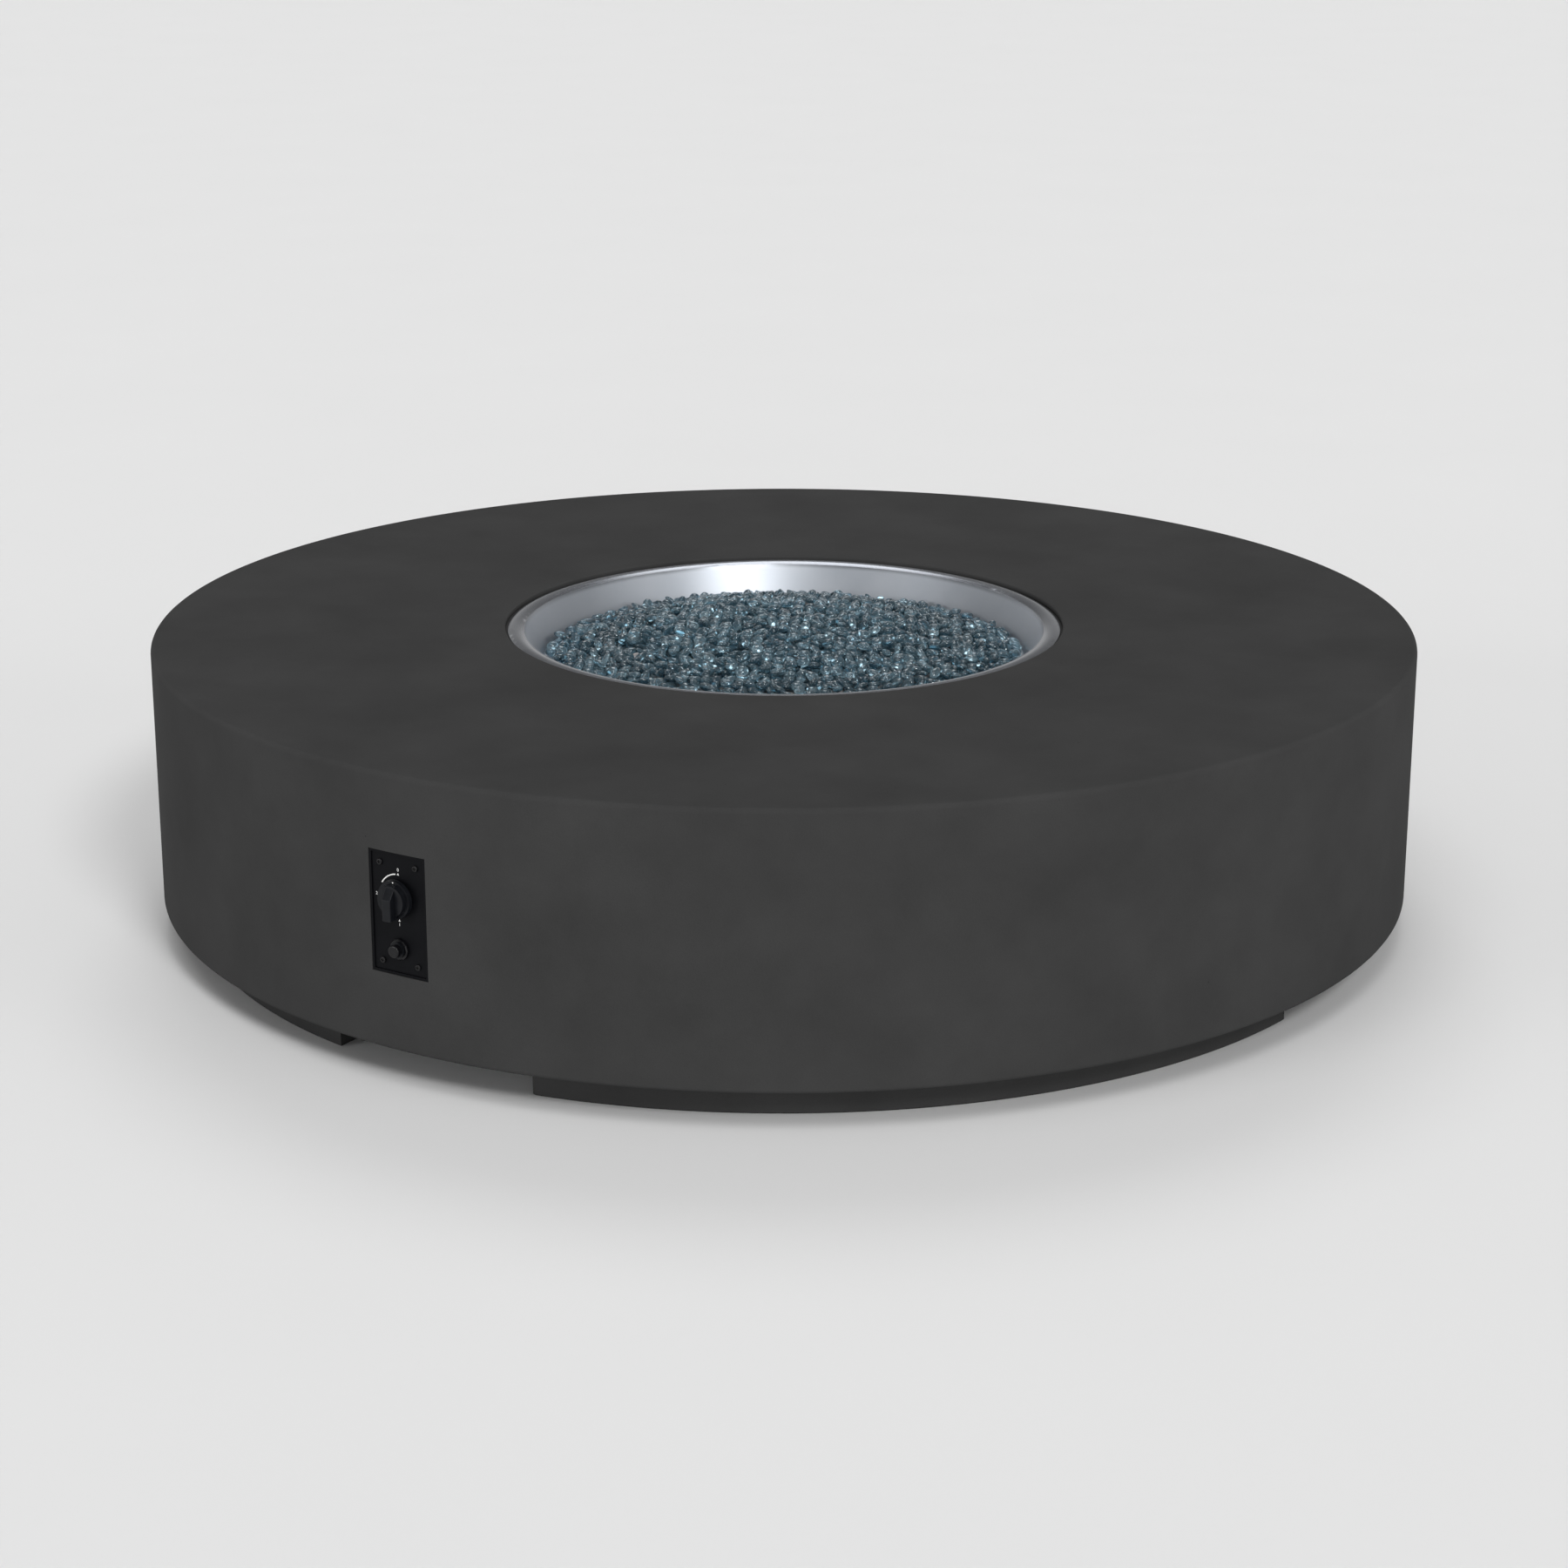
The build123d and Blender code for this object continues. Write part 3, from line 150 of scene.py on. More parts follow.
pinhole_and_its_shade = add_node(tree, "ShaderNodeMath", {0: hole.outputs[0], 1: some.outputs[0]}, operation="MULTIPLY")
# Painted shade: the pinholes are drawn near black, over their dent in the bump
tone = add_node(
    tree, "ShaderNodeMix",
    {0: pinhole_and_its_shade.outputs[0], 6: sanded.outputs[2], 7: linear("#242425")}, data_type="RGBA"
)
tree.links.new(tone.outputs[2], shader.inputs["Base Color"])
dull = add_node(tree, "ShaderNodeMapRange", {"Value": cloud.outputs["Fac"], "To Min": 0.85, "To Max": 1.0})
tree.links.new(dull.outputs[0], shader.inputs["Roughness"])
relief = add_node(
    tree, "ShaderNodeMath",
    {0: pinhole_and_its_shade.outputs[0], 1: -4.0, 2: sand.outputs["Fac"]}, operation="MULTIPLY_ADD"
)
bump = add_node(
    tree, "ShaderNodeBump", {"Height": relief.outputs[0], "Strength": 0.25, "Distance": 0.3 * MM}
)
tree.links.new(bump.outputs[0], shader.inputs["Normal"])

# Stainless steel sheet, spun to a pan and left satin: fine rings round the axis and a few soft smudges, which
# spread the lamp's reflection. The lip, burnished as it was rolled, is smoother and draws a sharper bright
# line;
# its steel is also painted darker than the wall's, a painted shade that stands in for the lip's darker look.
# The rings are drawn coarser than the real spinning marks so that they show.
spun_stainless, tree, shader, place = start_material("spun_stainless", {"Metallic": 1.0})
axes = add_node(tree, "ShaderNodeSeparateXYZ", {0: place})
flat = add_node(tree, "ShaderNodeCombineXYZ", {0: axes.outputs[0], 1: axes.outputs[1]})
radius = add_node(tree, "ShaderNodeVectorMath", {0: flat.outputs[0]}, operation="LENGTH")
along = add_node(tree, "ShaderNodeMath", {0: radius.outputs["Value"], 1: axes.outputs[2]}, operation="ADD")
rings = add_node(
    tree, "ShaderNodeTexNoise",
    {"W": along.outputs[0], "Scale": per(1.4), "Detail": 2.0}, noise_dimensions="1D"
)
smudge = add_node(tree, "ShaderNodeTexNoise", {"Vector": place, "Scale": per(55), "Detail": 3.0})
steel_tone = add_node(
    tree, "ShaderNodeMix",
    {0: smudge.outputs["Fac"], 6: linear("#aab0b8"), 7: linear("#b8bcc2")}, data_type="RGBA"
)
# Painted shade: the lip's steel colour is drawn darker than the wall's
lip_painted_shade_tone = add_node(
    tree, "ShaderNodeMix",
    {0: smudge.outputs["Fac"], 6: linear("#7a7d84"), 7: linear("#85888d")}, data_type="RGBA"
)
at_lip = add_node(
    tree, "ShaderNodeMapRange",
    {"Value": radius.outputs["Value"], "From Min": LIP_START, "From Max": LIP_FULL}
)
tone = add_node(
    tree, "ShaderNodeMix",
    {0: at_lip.outputs[0], 6: steel_tone.outputs[2], 7: lip_painted_shade_tone.outputs[2]}, data_type="RGBA"
)
tree.links.new(tone.outputs[2], shader.inputs["Base Color"])
polish = add_node(tree, "ShaderNodeMapRange", {"Value": at_lip.outputs[0], "To Min": 0.4, "To Max": 0.17})
satin = add_node(
    tree, "ShaderNodeMath",
    {0: smudge.outputs["Fac"], 1: 0.06, 2: polish.outputs[0]}, operation="MULTIPLY_ADD"
)
combed = add_node(
    tree, "ShaderNodeMath",
    {0: rings.outputs["Fac"], 1: 0.06, 2: satin.outputs[0]}, operation="MULTIPLY_ADD"
)
tree.links.new(combed.outputs[0], shader.inputs["Roughness"])
bump = add_node(
    tree, "ShaderNodeBump", {"Height": rings.outputs["Fac"], "Strength": 0.05, "Distance": 0.1 * MM}
)
tree.links.new(bump.outputs[0], shader.inputs["Normal"])

# Stainless tube that has been heated: soft patches, a little warmer and paler, over a dull grey.
heated_stainless, tree, shader, place = start_material("heated_stainless", {"Metallic": 1.0})
heat = add_node(tree, "ShaderNodeTexNoise", {"Vector": place, "Scale": per(45), "Detail": 3.0})
heat_tone = add_node(
    tree, "ShaderNodeMix",
    {0: heat.outputs["Fac"], 6: linear("#777677"), 7: linear("#8c8886")}, data_type="RGBA"
)
tree.links.new(heat_tone.outputs[2], shader.inputs["Base Color"])
scale = add_node(tree, "ShaderNodeMapRange", {"Value": heat.outputs["Fac"], "To Min": 0.38, "To Max": 0.55})
tree.links.new(scale.outputs[0], shader.inputs["Roughness"])

# Zinc-plated steel fasteners and springs: a cool grey with the slight cloudiness of plating.
zinc_plate, tree, shader, place = start_material("zinc_plate", {"Metallic": 1.0})
spangle = add_node(tree, "ShaderNodeTexNoise", {"Vector": place, "Scale": per(3), "Detail": 2.0})
zinc_tone = add_node(
    tree, "ShaderNodeMix",
    {0: spangle.outputs["Fac"], 6: linear("#aeb2b6"), 7: linear("#c8cbcd")}, data_type="RGBA"
)
tree.links.new(zinc_tone.outputs[2], shader.inputs["Base Color"])
cloudy = add_node(
    tree, "ShaderNodeMapRange", {"Value": spangle.outputs["Fac"], "To Min": 0.28, "To Max": 0.46}
)
tree.links.new(cloudy.outputs[0], shader.inputs["Roughness"])

# Machined and forged brass fittings: warm yellow, duller where handled.
gas_brass, tree, shader, place = start_material("gas_brass", {"Metallic": 1.0})
handled = add_node(tree, "ShaderNodeTexNoise", {"Vector": place, "Scale": per(9), "Detail": 3.0})
brass_tone = add_node(
    tree, "ShaderNodeMix",
    {0: handled.outputs["Fac"], 6: linear("#b08a45"), 7: linear("#d6b36a")}, data_type="RGBA"
)
tree.links.new(brass_tone.outputs[2], shader.inputs["Base Color"])
worn = add_node(
    tree, "ShaderNodeMapRange", {"Value": handled.outputs["Fac"], "To Min": 0.22, "To Max": 0.42}
)
tree.links.new(worn.outputs[0], shader.inputs["Roughness"])

# Extruded synthetic rubber of the hose and boot: black, matt, with a fine cloth mark from its curing wrap.
hose_rubber, tree, shader, place = start_material("hose_rubber", {"IOR": 1.5})
wrap = add_node(tree, "ShaderNodeTexWave", {"Vector": place, "Scale": per(6), "Distortion": 1.5})
rubber_tone = add_node(
    tree, "ShaderNodeMix",
    {0: wrap.outputs["Fac"], 6: linear("#161617"), 7: linear("#202021")}, data_type="RGBA"
)
tree.links.new(rubber_tone.outputs[2], shader.inputs["Base Color"])
bloom = add_node(tree, "ShaderNodeMapRange", {"Value": wrap.outputs["Fac"], "To Min": 0.6, "To Max": 0.75})
tree.links.new(bloom.outputs[0], shader.inputs["Roughness"])

# Silicone sleeve of the spark lead: brick red, soft sheen, slightly dusty.
lead_silicone, tree, shader, place = start_material("lead_silicone", {"IOR": 1.43})
dust = add_node(tree, "ShaderNodeTexNoise", {"Vector": place, "Scale": per(4), "Detail": 2.0})
lead_tone = add_node(
    tree, "ShaderNodeMix",
    {0: dust.outputs["Fac"], 6: linear("#8f2b22"), 7: linear("#a8392c")}, data_type="RGBA"
)
tree.links.new(lead_tone.outputs[2], shader.inputs["Base Color"])
dusty = add_node(tree, "ShaderNodeMapRange", {"Value": dust.outputs["Fac"], "To Min": 0.42, "To Max": 0.6})
tree.links.new(dusty.outputs[0], shader.inputs["Roughness"])

# Black powder coat on steel: near black, a tight orange peel that breaks up its sheen.
black_powder_coat, tree, shader, place = start_material(
    "black_powder_coat", {"IOR": 1.5, "Specular IOR Level": 0.06}
)
peel = add_node(tree, "ShaderNodeTexNoise", {"Vector": place, "Scale": per(0.9), "Detail": 1.0})
coat_tone = add_node(
    tree, "ShaderNodeMix",
    {0: peel.outputs["Fac"], 6: linear("#08080a"), 7: linear("#111215")}, data_type="RGBA"
)
tree.links.new(coat_tone.outputs[2], shader.inputs["Base Color"])
sheen = add_node(tree, "ShaderNodeMapRange", {"Value": peel.outputs["Fac"], "To Min": 0.42, "To Max": 0.62})
tree.links.new(sheen.outputs[0], shader.inputs["Roughness"])
bump = add_node(
    tree, "ShaderNodeBump", {"Height": peel.outputs["Fac"], "Strength": 0.2, "Distance": 0.1 * MM}
)
tree.links.new(bump.outputs[0], shader.inputs["Normal"])

# Blackened steel screw heads: oiled black oxide, smooth enough for a small bright glint on each dome.
black_oxide, tree, shader, place = start_material("black_oxide", {"IOR": 1.6, "Specular IOR Level": 0.2})
oil = add_node(tree, "ShaderNodeTexNoise", {"Vector": place, "Scale": per(1.5), "Detail": 2.0})
oxide_tone = add_node(
    tree, "ShaderNodeMix",
    {0: oil.outputs["Fac"], 6: linear("#09090a"), 7: linear("#131315")}, data_type="RGBA"
)
tree.links.new(oxide_tone.outputs[2], shader.inputs["Base Color"])
oily = add_node(tree, "ShaderNodeMapRange", {"Value": oil.outputs["Fac"], "To Min": 0.14, "To Max": 0.28})
tree.links.new(oily.outputs[0], shader.inputs["Roughness"])

# Moulded black phenolic of the knob and barrel: blue-black, smooth, faint flow marks and handling haze.
black_phenolic, tree, shader, place = start_material(
    "black_phenolic", {"IOR": 1.58, "Specular IOR Level": 0.14}
)
haze = add_node(tree, "ShaderNodeTexNoise", {"Vector": place, "Scale": per(7), "Detail": 3.0})
knob_tone = add_node(
    tree, "ShaderNodeMix",
    {0: haze.outputs["Fac"], 6: linear("#0b0c0f"), 7: linear("#15171b")}, data_type="RGBA"
)
tree.links.new(knob_tone.outputs[2], shader.inputs["Base Color"])
gloss = add_node(tree, "ShaderNodeMapRange", {"Value": haze.outputs["Fac"], "To Min": 0.26, "To Max": 0.42})
tree.links.new(gloss.outputs[0], shader.inputs["Roughness"])

# Gloss black ABS of the igniter ring and button: polished, with small bright reflections on its facets.
gloss_abs, tree, shader, place = start_material("gloss_abs", {"IOR": 1.54, "Specular IOR Level": 0.25})
finger = add_node(tree, "ShaderNodeTexNoise", {"Vector": place, "Scale": per(5), "Detail": 3.0})
abs_tone = add_node(
    tree, "ShaderNodeMix",
    {0: finger.outputs["Fac"], 6: linear("#08080a"), 7: linear("#111114")}, data_type="RGBA"
)
tree.links.new(abs_tone.outputs[2], shader.inputs["Base Color"])
print_mark = add_node(
    tree, "ShaderNodeMapRange", {"Value": finger.outputs["Fac"], "To Min": 0.1, "To Max": 0.24}
)
tree.links.new(print_mark.outputs[0], shader.inputs["Roughness"])

# Printed steel jacket of a dry cell: two plain bands, dark and pale grey, with no marks.
cell_jacket, tree, shader, place = start_material("cell_jacket", {"Metallic": 0.6, "Roughness": 0.35})
cell_axes = add_node(tree, "ShaderNodeSeparateXYZ", {0: place})
band = add_node(tree, "ShaderNodeMath", {0: cell_axes.outputs[1], 1: CELL_BAND_Y}, operation="GREATER_THAN")
cell_tone = add_node(
    tree, "ShaderNodeMix",
    {0: band.outputs[0], 6: linear("#3a3c40"), 7: linear("#8f9296")}, data_type="RGBA"
)
tree.links.new(cell_tone.outputs[2], shader.inputs["Base Color"])

# Glazed alumina of the spark insulator: warm white, glossy, with fine specks.
glazed_alumina, tree, shader, place = start_material("glazed_alumina", {"IOR": 1.52, "Roughness": 0.16})
speck = add_node(tree, "ShaderNodeTexNoise", {"Vector": place, "Scale": per(1.2), "Detail": 2.0})
alumina_tone = add_node(
    tree, "ShaderNodeMix",
    {0: speck.outputs["Fac"], 6: linear("#e2ddd2"), 7: linear("#f0ece4")}, data_type="RGBA"
)
tree.links.new(alumina_tone.outputs[2], shader.inputs["Base Color"])

# Tumbled soda-lime glass, tinted blue-grey: clear and smooth, so each bead shows dark edges and pale glints.
# Each bead holds its own depth of tint in the attribute "tint".
tinted_glass, tree, shader, place = start_material(
    "tinted_glass", {"IOR": 1.5, "Roughness": 0.03, "Transmission Weight": 0.88}
)
batch = add_node(tree, "ShaderNodeAttribute", attribute_name="tint")
glass_tone = add_node(
    tree, "ShaderNodeMix",
    {0: batch.outputs["Fac"], 6: linear("#648797"), 7: linear("#a9c6d2")}, data_type="RGBA"
)
tree.links.new(glass_tone.outputs[2], shader.inputs["Base Color"])

# Screen-printed ink on the panel: dense matt white, a little thin in places.
white_ink, tree, shader, place = start_material("white_ink", {"IOR": 1.48, "Roughness": 0.6})
thinning = add_node(tree, "ShaderNodeTexNoise", {"Vector": place, "Scale": per(0.8), "Detail": 2.0})
ink_tone = add_node(
    tree, "ShaderNodeMix",
    {0: thinning.outputs["Fac"], 6: linear("#d4d4d2"), 7: linear("#f4f4f2")}, data_type="RGBA"
)
tree.links.new(ink_tone.outputs[2], shader.inputs["Base Color"])

# Pale studio floor: an even light grey with the faintest mottle.
studio_floor, tree, shader, place = start_material(
    "studio_floor", {"Roughness": 0.9, "Specular IOR Level": 0.1}
)
mottle = add_node(tree, "ShaderNodeTexNoise", {"Vector": place, "Scale": per(400), "Detail": 2.0})
floor_tone = add_node(
    tree, "ShaderNodeMix",
    {0: mottle.outputs["Fac"], 6: linear("#e3e3e3"), 7: linear("#e5e5e5")}, data_type="RGBA"
)
tree.links.new(floor_tone.outputs[2], shader.inputs["Base Color"])

FINISHES = {
    charcoal_concrete: (
        "concrete_shell", "foot_front_left", "foot_front_right", "foot_rear_left", "foot_rear_right",
    ),
    spun_stainless: ("fire_pan", "burner_nipple", "electrode_bracket"),
    heated_stainless: ("ring_burner", "electrode_rod"),
    zinc_plate: (
        "foot_bolts", "foot_inserts", "nipple_washer", "nipple_locknut", "frame_screws", "stem_spring",
        "igniter_spring", "bracket_screws", "valve_locknut",
    ),
    gas_brass: (
        "air_mixer", "gas_orifice", "burner_elbow", "hose_nuts", "valve_body", "valve_cap", "inlet_elbow",
        "outlet_elbow", "valve_stem", "stem_collar",
    ),
    hose_rubber: ("gas_hose", "electrode_boot"),
    lead_silicone: ("ignition_wire",),
    black_powder_coat: ("panel_frame", "control_panel"),
    black_oxide: ("panel_screws",),
    black_phenolic: ("control_knob", "igniter_barrel", "wire_clips"),
    gloss_abs: ("igniter_bezel", "igniter_button"),
    cell_jacket: ("igniter_battery",),
    glazed_alumina: ("electrode_insulator",),
    tinted_glass: ("glass_bed",),
}
for finish, names in FINISHES.items():
    for name in names:
        cad[name].data.materials.clear()
        cad[name].data.materials.append(finish)


def begin():
    """Leaves edit mode and deselects everything, so that the next operator acts on the new piece alone."""
    if bpy.context.object and bpy.context.object.mode != "OBJECT":
        bpy.ops.object.mode_set(mode="OBJECT")
    bpy.ops.object.select_all(action="DESELECT")


def settle(piece, name, finish, body):
    """Names a finished piece, puts its place in its mesh, and gives it a finish and a body."""
    begin()
    piece.select_set(True)
    bpy.context.view_layer.objects.active = piece
    bpy.ops.object.transform_apply(location=True, rotation=True, scale=True)
    piece.name = name
    piece.data.name = name
    piece.data.materials.clear()
    piece.data.materials.append(finish)
    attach(piece, body)


def mend_normals(piece):
    """Merges doubles and turns all faces outwards."""
    begin()
    piece.select_set(True)
    bpy.context.view_layer.objects.active = piece
    bpy.ops.object.mode_set(mode="EDIT")
    bpy.ops.mesh.select_all(action="SELECT")
    bpy.ops.mesh.remove_doubles(threshold=1e-6)
    bpy.ops.mesh.normals_make_consistent(inside=False)
    bpy.ops.object.mode_set(mode="OBJECT")


# The drum: the source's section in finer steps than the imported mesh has, so that its long edges run smooth.
# Pockets that inserts and screws fill aren't cut.
DRUM_STEPS = 288
DRUM_RADIUS = 762 * MM
DRUM_TOP = 350 * MM
DRUM_BASE = 40 * MM
WALL_INSIDE = 734 * MM
SLAB_UNDERSIDE = 318 * MM
RETURN_TOP = 70 * MM
RETURN_RADIUS = 632 * MM
MOUTH_RADIUS = 339.5 * MM
LEDGE_RADIUS = 321.05 * MM
LEDGE_Z = 343.4 * MM
# Plain faces end in these rows, which keep the edge rounds from shading them
WALL_LOW = 45 * MM
WALL_HIGH = 343 * MM
TOP_OUTSIDE = 755 * MM
TOP_INSIDE = 342.5 * MM
# Radius and height of each ring, from the top edge in through the mouth and down to the base
DRUM_RINGS = (
    (DRUM_RADIUS, DRUM_TOP), (TOP_OUTSIDE, DRUM_TOP), (TOP_INSIDE, DRUM_TOP), (MOUTH_RADIUS, DRUM_TOP),
    (MOUTH_RADIUS, LEDGE_Z), (LEDGE_RADIUS, LEDGE_Z), (LEDGE_RADIUS, SLAB_UNDERSIDE),
    (WALL_INSIDE, SLAB_UNDERSIDE), (WALL_INSIDE, RETURN_TOP), (RETURN_RADIUS, RETURN_TOP),
    (RETURN_RADIUS, DRUM_BASE),
)
# Radius and height of each rounded edge, its round, and the steps in it
DRUM_ROUNDS = (
    (DRUM_RADIUS, DRUM_TOP, 6 * MM, 6), (DRUM_RADIUS, DRUM_BASE, 4 * MM, 4),
    (MOUTH_RADIUS, DRUM_TOP, 2 * MM, 3), (LEDGE_RADIUS, SLAB_UNDERSIDE, 4 * MM, 3),
    (WALL_INSIDE, SLAB_UNDERSIDE, 15 * MM, 4), (WALL_INSIDE, RETURN_TOP, 15 * MM, 4),
    (RETURN_RADIUS, RETURN_TOP, 4 * MM, 3), (RETURN_RADIUS, DRUM_BASE, 4 * MM, 3),
)
# Lowest and highest corner of the boss behind the panel, and of the mouth for the panel's frame
PANEL_BOSS = (Vector((-80, -744, 95)) * MM, Vector((80, -724, 295)) * MM)
PANEL_MOUTH = (Vector((-37.5, -800, 126.5)) * MM, Vector((37.5, -724, 263.5)) * MM)
STRAIGHT = 0.9  # a face looks straight up or down from this much of its normal on
NEAR = 0.05 * MM  # a point counts as on a ring within this distance


def pick_cap(piece, side):
    """Selects, in edit mode, the faces that look straight up (side 1) or down (side -1)."""
    bpy.ops.object.mode_set(mode="EDIT")
    bpy.ops.mesh.select_mode(type="FACE")
    bpy.ops.mesh.select_all(action="DESELECT")
    bpy.ops.object.mode_set(mode="OBJECT")
    for polygon in piece.data.polygons:
        polygon.select = side * polygon.normal.z > STRAIGHT
    bpy.ops.object.mode_set(mode="EDIT")


def pick_ring(piece, height, radius=None):
    """Selects, in edit mode, the round edges at a height, or those of one radius there."""
    bpy.ops.mesh.select_mode(type="EDGE")
    bpy.ops.mesh.select_all(action="DESELECT")
    bpy.ops.object.mode_set(mode="OBJECT")
    there = [
        abs(vertex.co.z - height) < NEAR and (radius is None or abs(vertex.co.xy.length - radius) < NEAR)
        for vertex in piece.data.vertices
    ]
    for edge in piece.data.edges:
        edge.select = all(there[end] for end in edge.vertices)
    bpy.ops.object.mode_set(mode="EDIT")


def add_block(piece, corners, operation):
    """Joins a block between two corners to a piece, or cuts it away."""
    begin()
    low, high = corners
    bpy.ops.mesh.primitive_cube_add(size=1, location=(low + high) / 2, scale=high - low)
    block = bpy.context.object
    begin()
    bpy.context.view_layer.objects.active = piece
    change = piece.modifiers.new("block", "BOOLEAN")
    change.object = block
    change.operation = operation
    change.solver = "EXACT"
    bpy.ops.object.modifier_apply(modifier="block")
    bpy.data.objects.remove(block)


begin()
bpy.ops.mesh.primitive_cylinder_add(
    vertices=DRUM_STEPS, radius=DRUM_RADIUS, depth=WALL_HIGH - WALL_LOW,
    location=(0, 0, (WALL_HIGH + WALL_LOW) / 2)
)
drum = bpy.context.object
bpy.ops.object.transform_apply(location=True, rotation=True, scale=True)
pick_cap(drum, -1)
bpy.ops.mesh.extrude_region_move(TRANSFORM_OT_translate={"value": (0, 0, DRUM_BASE - WALL_LOW)})
bpy.ops.mesh.delete(type="ONLY_FACE")
pick_cap(drum, 1)
last_radius = DRUM_RADIUS
last_height = WALL_HIGH
for radius, height in DRUM_RINGS:
    bpy.ops.mesh.extrude_region_move(TRANSFORM_OT_translate={"value": (0, 0, height - last_height)})
    ratio = radius / last_radius
    bpy.ops.transform.resize(value=(ratio, ratio, 1), center_override=(0, 0, height))
    last_radius = radius
    last_height = height
bpy.ops.mesh.delete(type="ONLY_FACE")
pick_ring(drum, DRUM_BASE)
bpy.ops.mesh.bridge_edge_loops()
for radius, height, size, steps in DRUM_ROUNDS:
    pick_ring(drum, height, radius)
    bpy.ops.mesh.bevel(offset=size, segments=steps, affect="EDGES", clamp_overlap=False)
add_block(drum, PANEL_BOSS, "UNION")
add_block(drum, PANEL_MOUTH, "DIFFERENCE")
mend_normals(drum)
bpy.ops.object.shade_smooth_by_angle(angle=math.radians(35))
settle(drum, "drum", charcoal_concrete, "base")
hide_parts("concrete_shell")


# Coil springs that stand for the sleeves in the source
COIL_STEPS = 20


def wind_spring(name, node, ends, height, coil_radius, wire_radius, turns):
    """A wire's round section on the coil's radius, screwed along Y between the ends and capped."""
    begin()
    start = ends[0] + wire_radius
    bpy.ops.object.empty_add(location=(0, start, height))
    coil_axis = bpy.context.object
    begin()
    bpy.ops.mesh.primitive_circle_add(vertices=10, radius=wire_radius, location=(coil_radius, start, height))
    spring = bpy.context.object
    screw = spring.modifiers.new("wind", "SCREW")
    screw.object = coil_axis
    screw.axis = "Y"
    screw.screw_offset = (ends[1] - ends[0] - 2 * wire_radius) / turns
    screw.iterations = turns
    screw.steps = COIL_STEPS
    screw.render_steps = COIL_STEPS
    bpy.ops.object.modifier_apply(modifier="wind")
    bpy.data.objects.remove(coil_axis)
    bpy.ops.object.mode_set(mode="EDIT")
    bpy.ops.mesh.select_all(action="SELECT")
    bpy.ops.mesh.fill_holes(sides=0)
    mend_normals(spring)
    bpy.ops.object.shade_smooth_by_angle(angle=math.radians(50))
    settle(spring, name, zinc_plate, "base")
    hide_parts(node)
    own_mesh(spring)


wind_spring(
    "stem_coil", "stem_spring", STEM_SPRING_Y, KNOB_Z,
    coil_radius=4.75 * MM, wire_radius=0.7 * MM, turns=5
)
wind_spring(
    "button_coil", "igniter_spring", BUTTON_SPRING_Y, IGNITER_Z,
    coil_radius=5.25 * MM, wire_radius=0.6 * MM, turns=3
)


# Printed marks on the panel, each a thin raised film of ink
INK = 0.12 * MM
INK_FRONT_Y = PANEL_FACE_Y - INK
DIAL_RADIUS = 25.7 * MM
ARROW_RADIUS = 1.7 * MM
NUMBER_SIZE = 5 * MM
NUMBER_ABOVE = 5 * MM
NUMBER_BELOW = 4.5 * MM
NUMBER_LEFT = 29.5 * MM
UPRIGHT = (math.pi / 2, 0, 0)


def thicken_ink(mark):
    """Pulls a flat mark, drawn on the film's front, back to the panel's face."""
    bpy.ops.object.mode_set(mode="EDIT")
    bpy.ops.mesh.select_all(action="SELECT")
    bpy.ops.mesh.extrude_region_move(TRANSFORM_OT_translate={"value": (0, INK, 0)})
    mend_normals(mark)


def print_sweep(name, start, sweep, width):
    """A strip of ink round the knob's axis, spun to the left from a small square near 12 o'clock."""
    begin()
    ahead = Vector((-math.cos(start), 0, -math.sin(start)))
    middle = Vector((-math.sin(start) * DIAL_RADIUS, INK_FRONT_Y, KNOB_Z + math.cos(start) * DIAL_RADIUS))
    bpy.ops.mesh.primitive_plane_add(size=width, location=middle)
    strip = bpy.context.object
    strip.rotation_euler = (math.pi / 2, -start, 0)
    bpy.ops.object.transform_apply(location=True, rotation=True, scale=True)
    strip.data.polygons[0].select = False
    for vertex in strip.data.vertices:
        vertex.select = ahead.dot(vertex.co - middle) > 0
    for edge in strip.data.edges:
        edge.select = all(strip.data.vertices[end].select for end in edge.vertices)
    bpy.ops.object.mode_set(mode="EDIT")
    bpy.ops.mesh.select_mode(type="EDGE")
    bpy.ops.mesh.spin(steps=24, angle=sweep, center=(0, INK_FRONT_Y, KNOB_Z), axis=(0, 1, 0))
    bpy.ops.object.mode_set(mode="OBJECT")
    thicken_ink(strip)
    settle(strip, name, white_ink, "base")


def print_arrow(name, height):
    """A small triangle that points up."""
    begin()
    bpy.ops.mesh.primitive_circle_add(
        vertices=3, radius=ARROW_RADIUS, fill_type="NGON", location=(0, INK_FRONT_Y, height), rotation=UPRIGHT
    )
    arrow = bpy.context.object
    bpy.ops.object.transform_apply(location=True, rotation=True, scale=True)
    thicken_ink(arrow)
    settle(arrow, name, white_ink, "base")


def print_number(name, number, across, height):
    """A plain numeral, drawn as text and made a mesh before its place is applied."""
    begin()
    bpy.ops.object.text_add(location=(across, PANEL_FACE_Y - INK / 2, height), rotation=UPRIGHT)
    numeral = bpy.context.object
    numeral.data.body = number
    numeral.data.size = NUMBER_SIZE
    numeral.data.align_x = "CENTER"
    numeral.data.align_y = "CENTER"
    numeral.data.extrude = INK / 2
    numeral.data.resolution_u = 4
    bpy.ops.object.convert(target="MESH")
    mend_normals(numeral)
    settle(numeral, name, white_ink, "base")


print_sweep("dial_sweep", start=math.radians(9), sweep=math.radians(48), width=1.3 * MM)
print_arrow("dial_arrow_top", KNOB_Z + DIAL_RADIUS)
print_arrow("dial_arrow_bottom", KNOB_Z - DIAL_RADIUS)
print_number("dial_number_0", "0", 0, KNOB_Z + DIAL_RADIUS + NUMBER_ABOVE)
print_number("dial_number_2", "2", -NUMBER_LEFT, KNOB_Z)
print_number("dial_number_1", "1", 0, KNOB_Z - DIAL_RADIUS - NUMBER_BELOW)

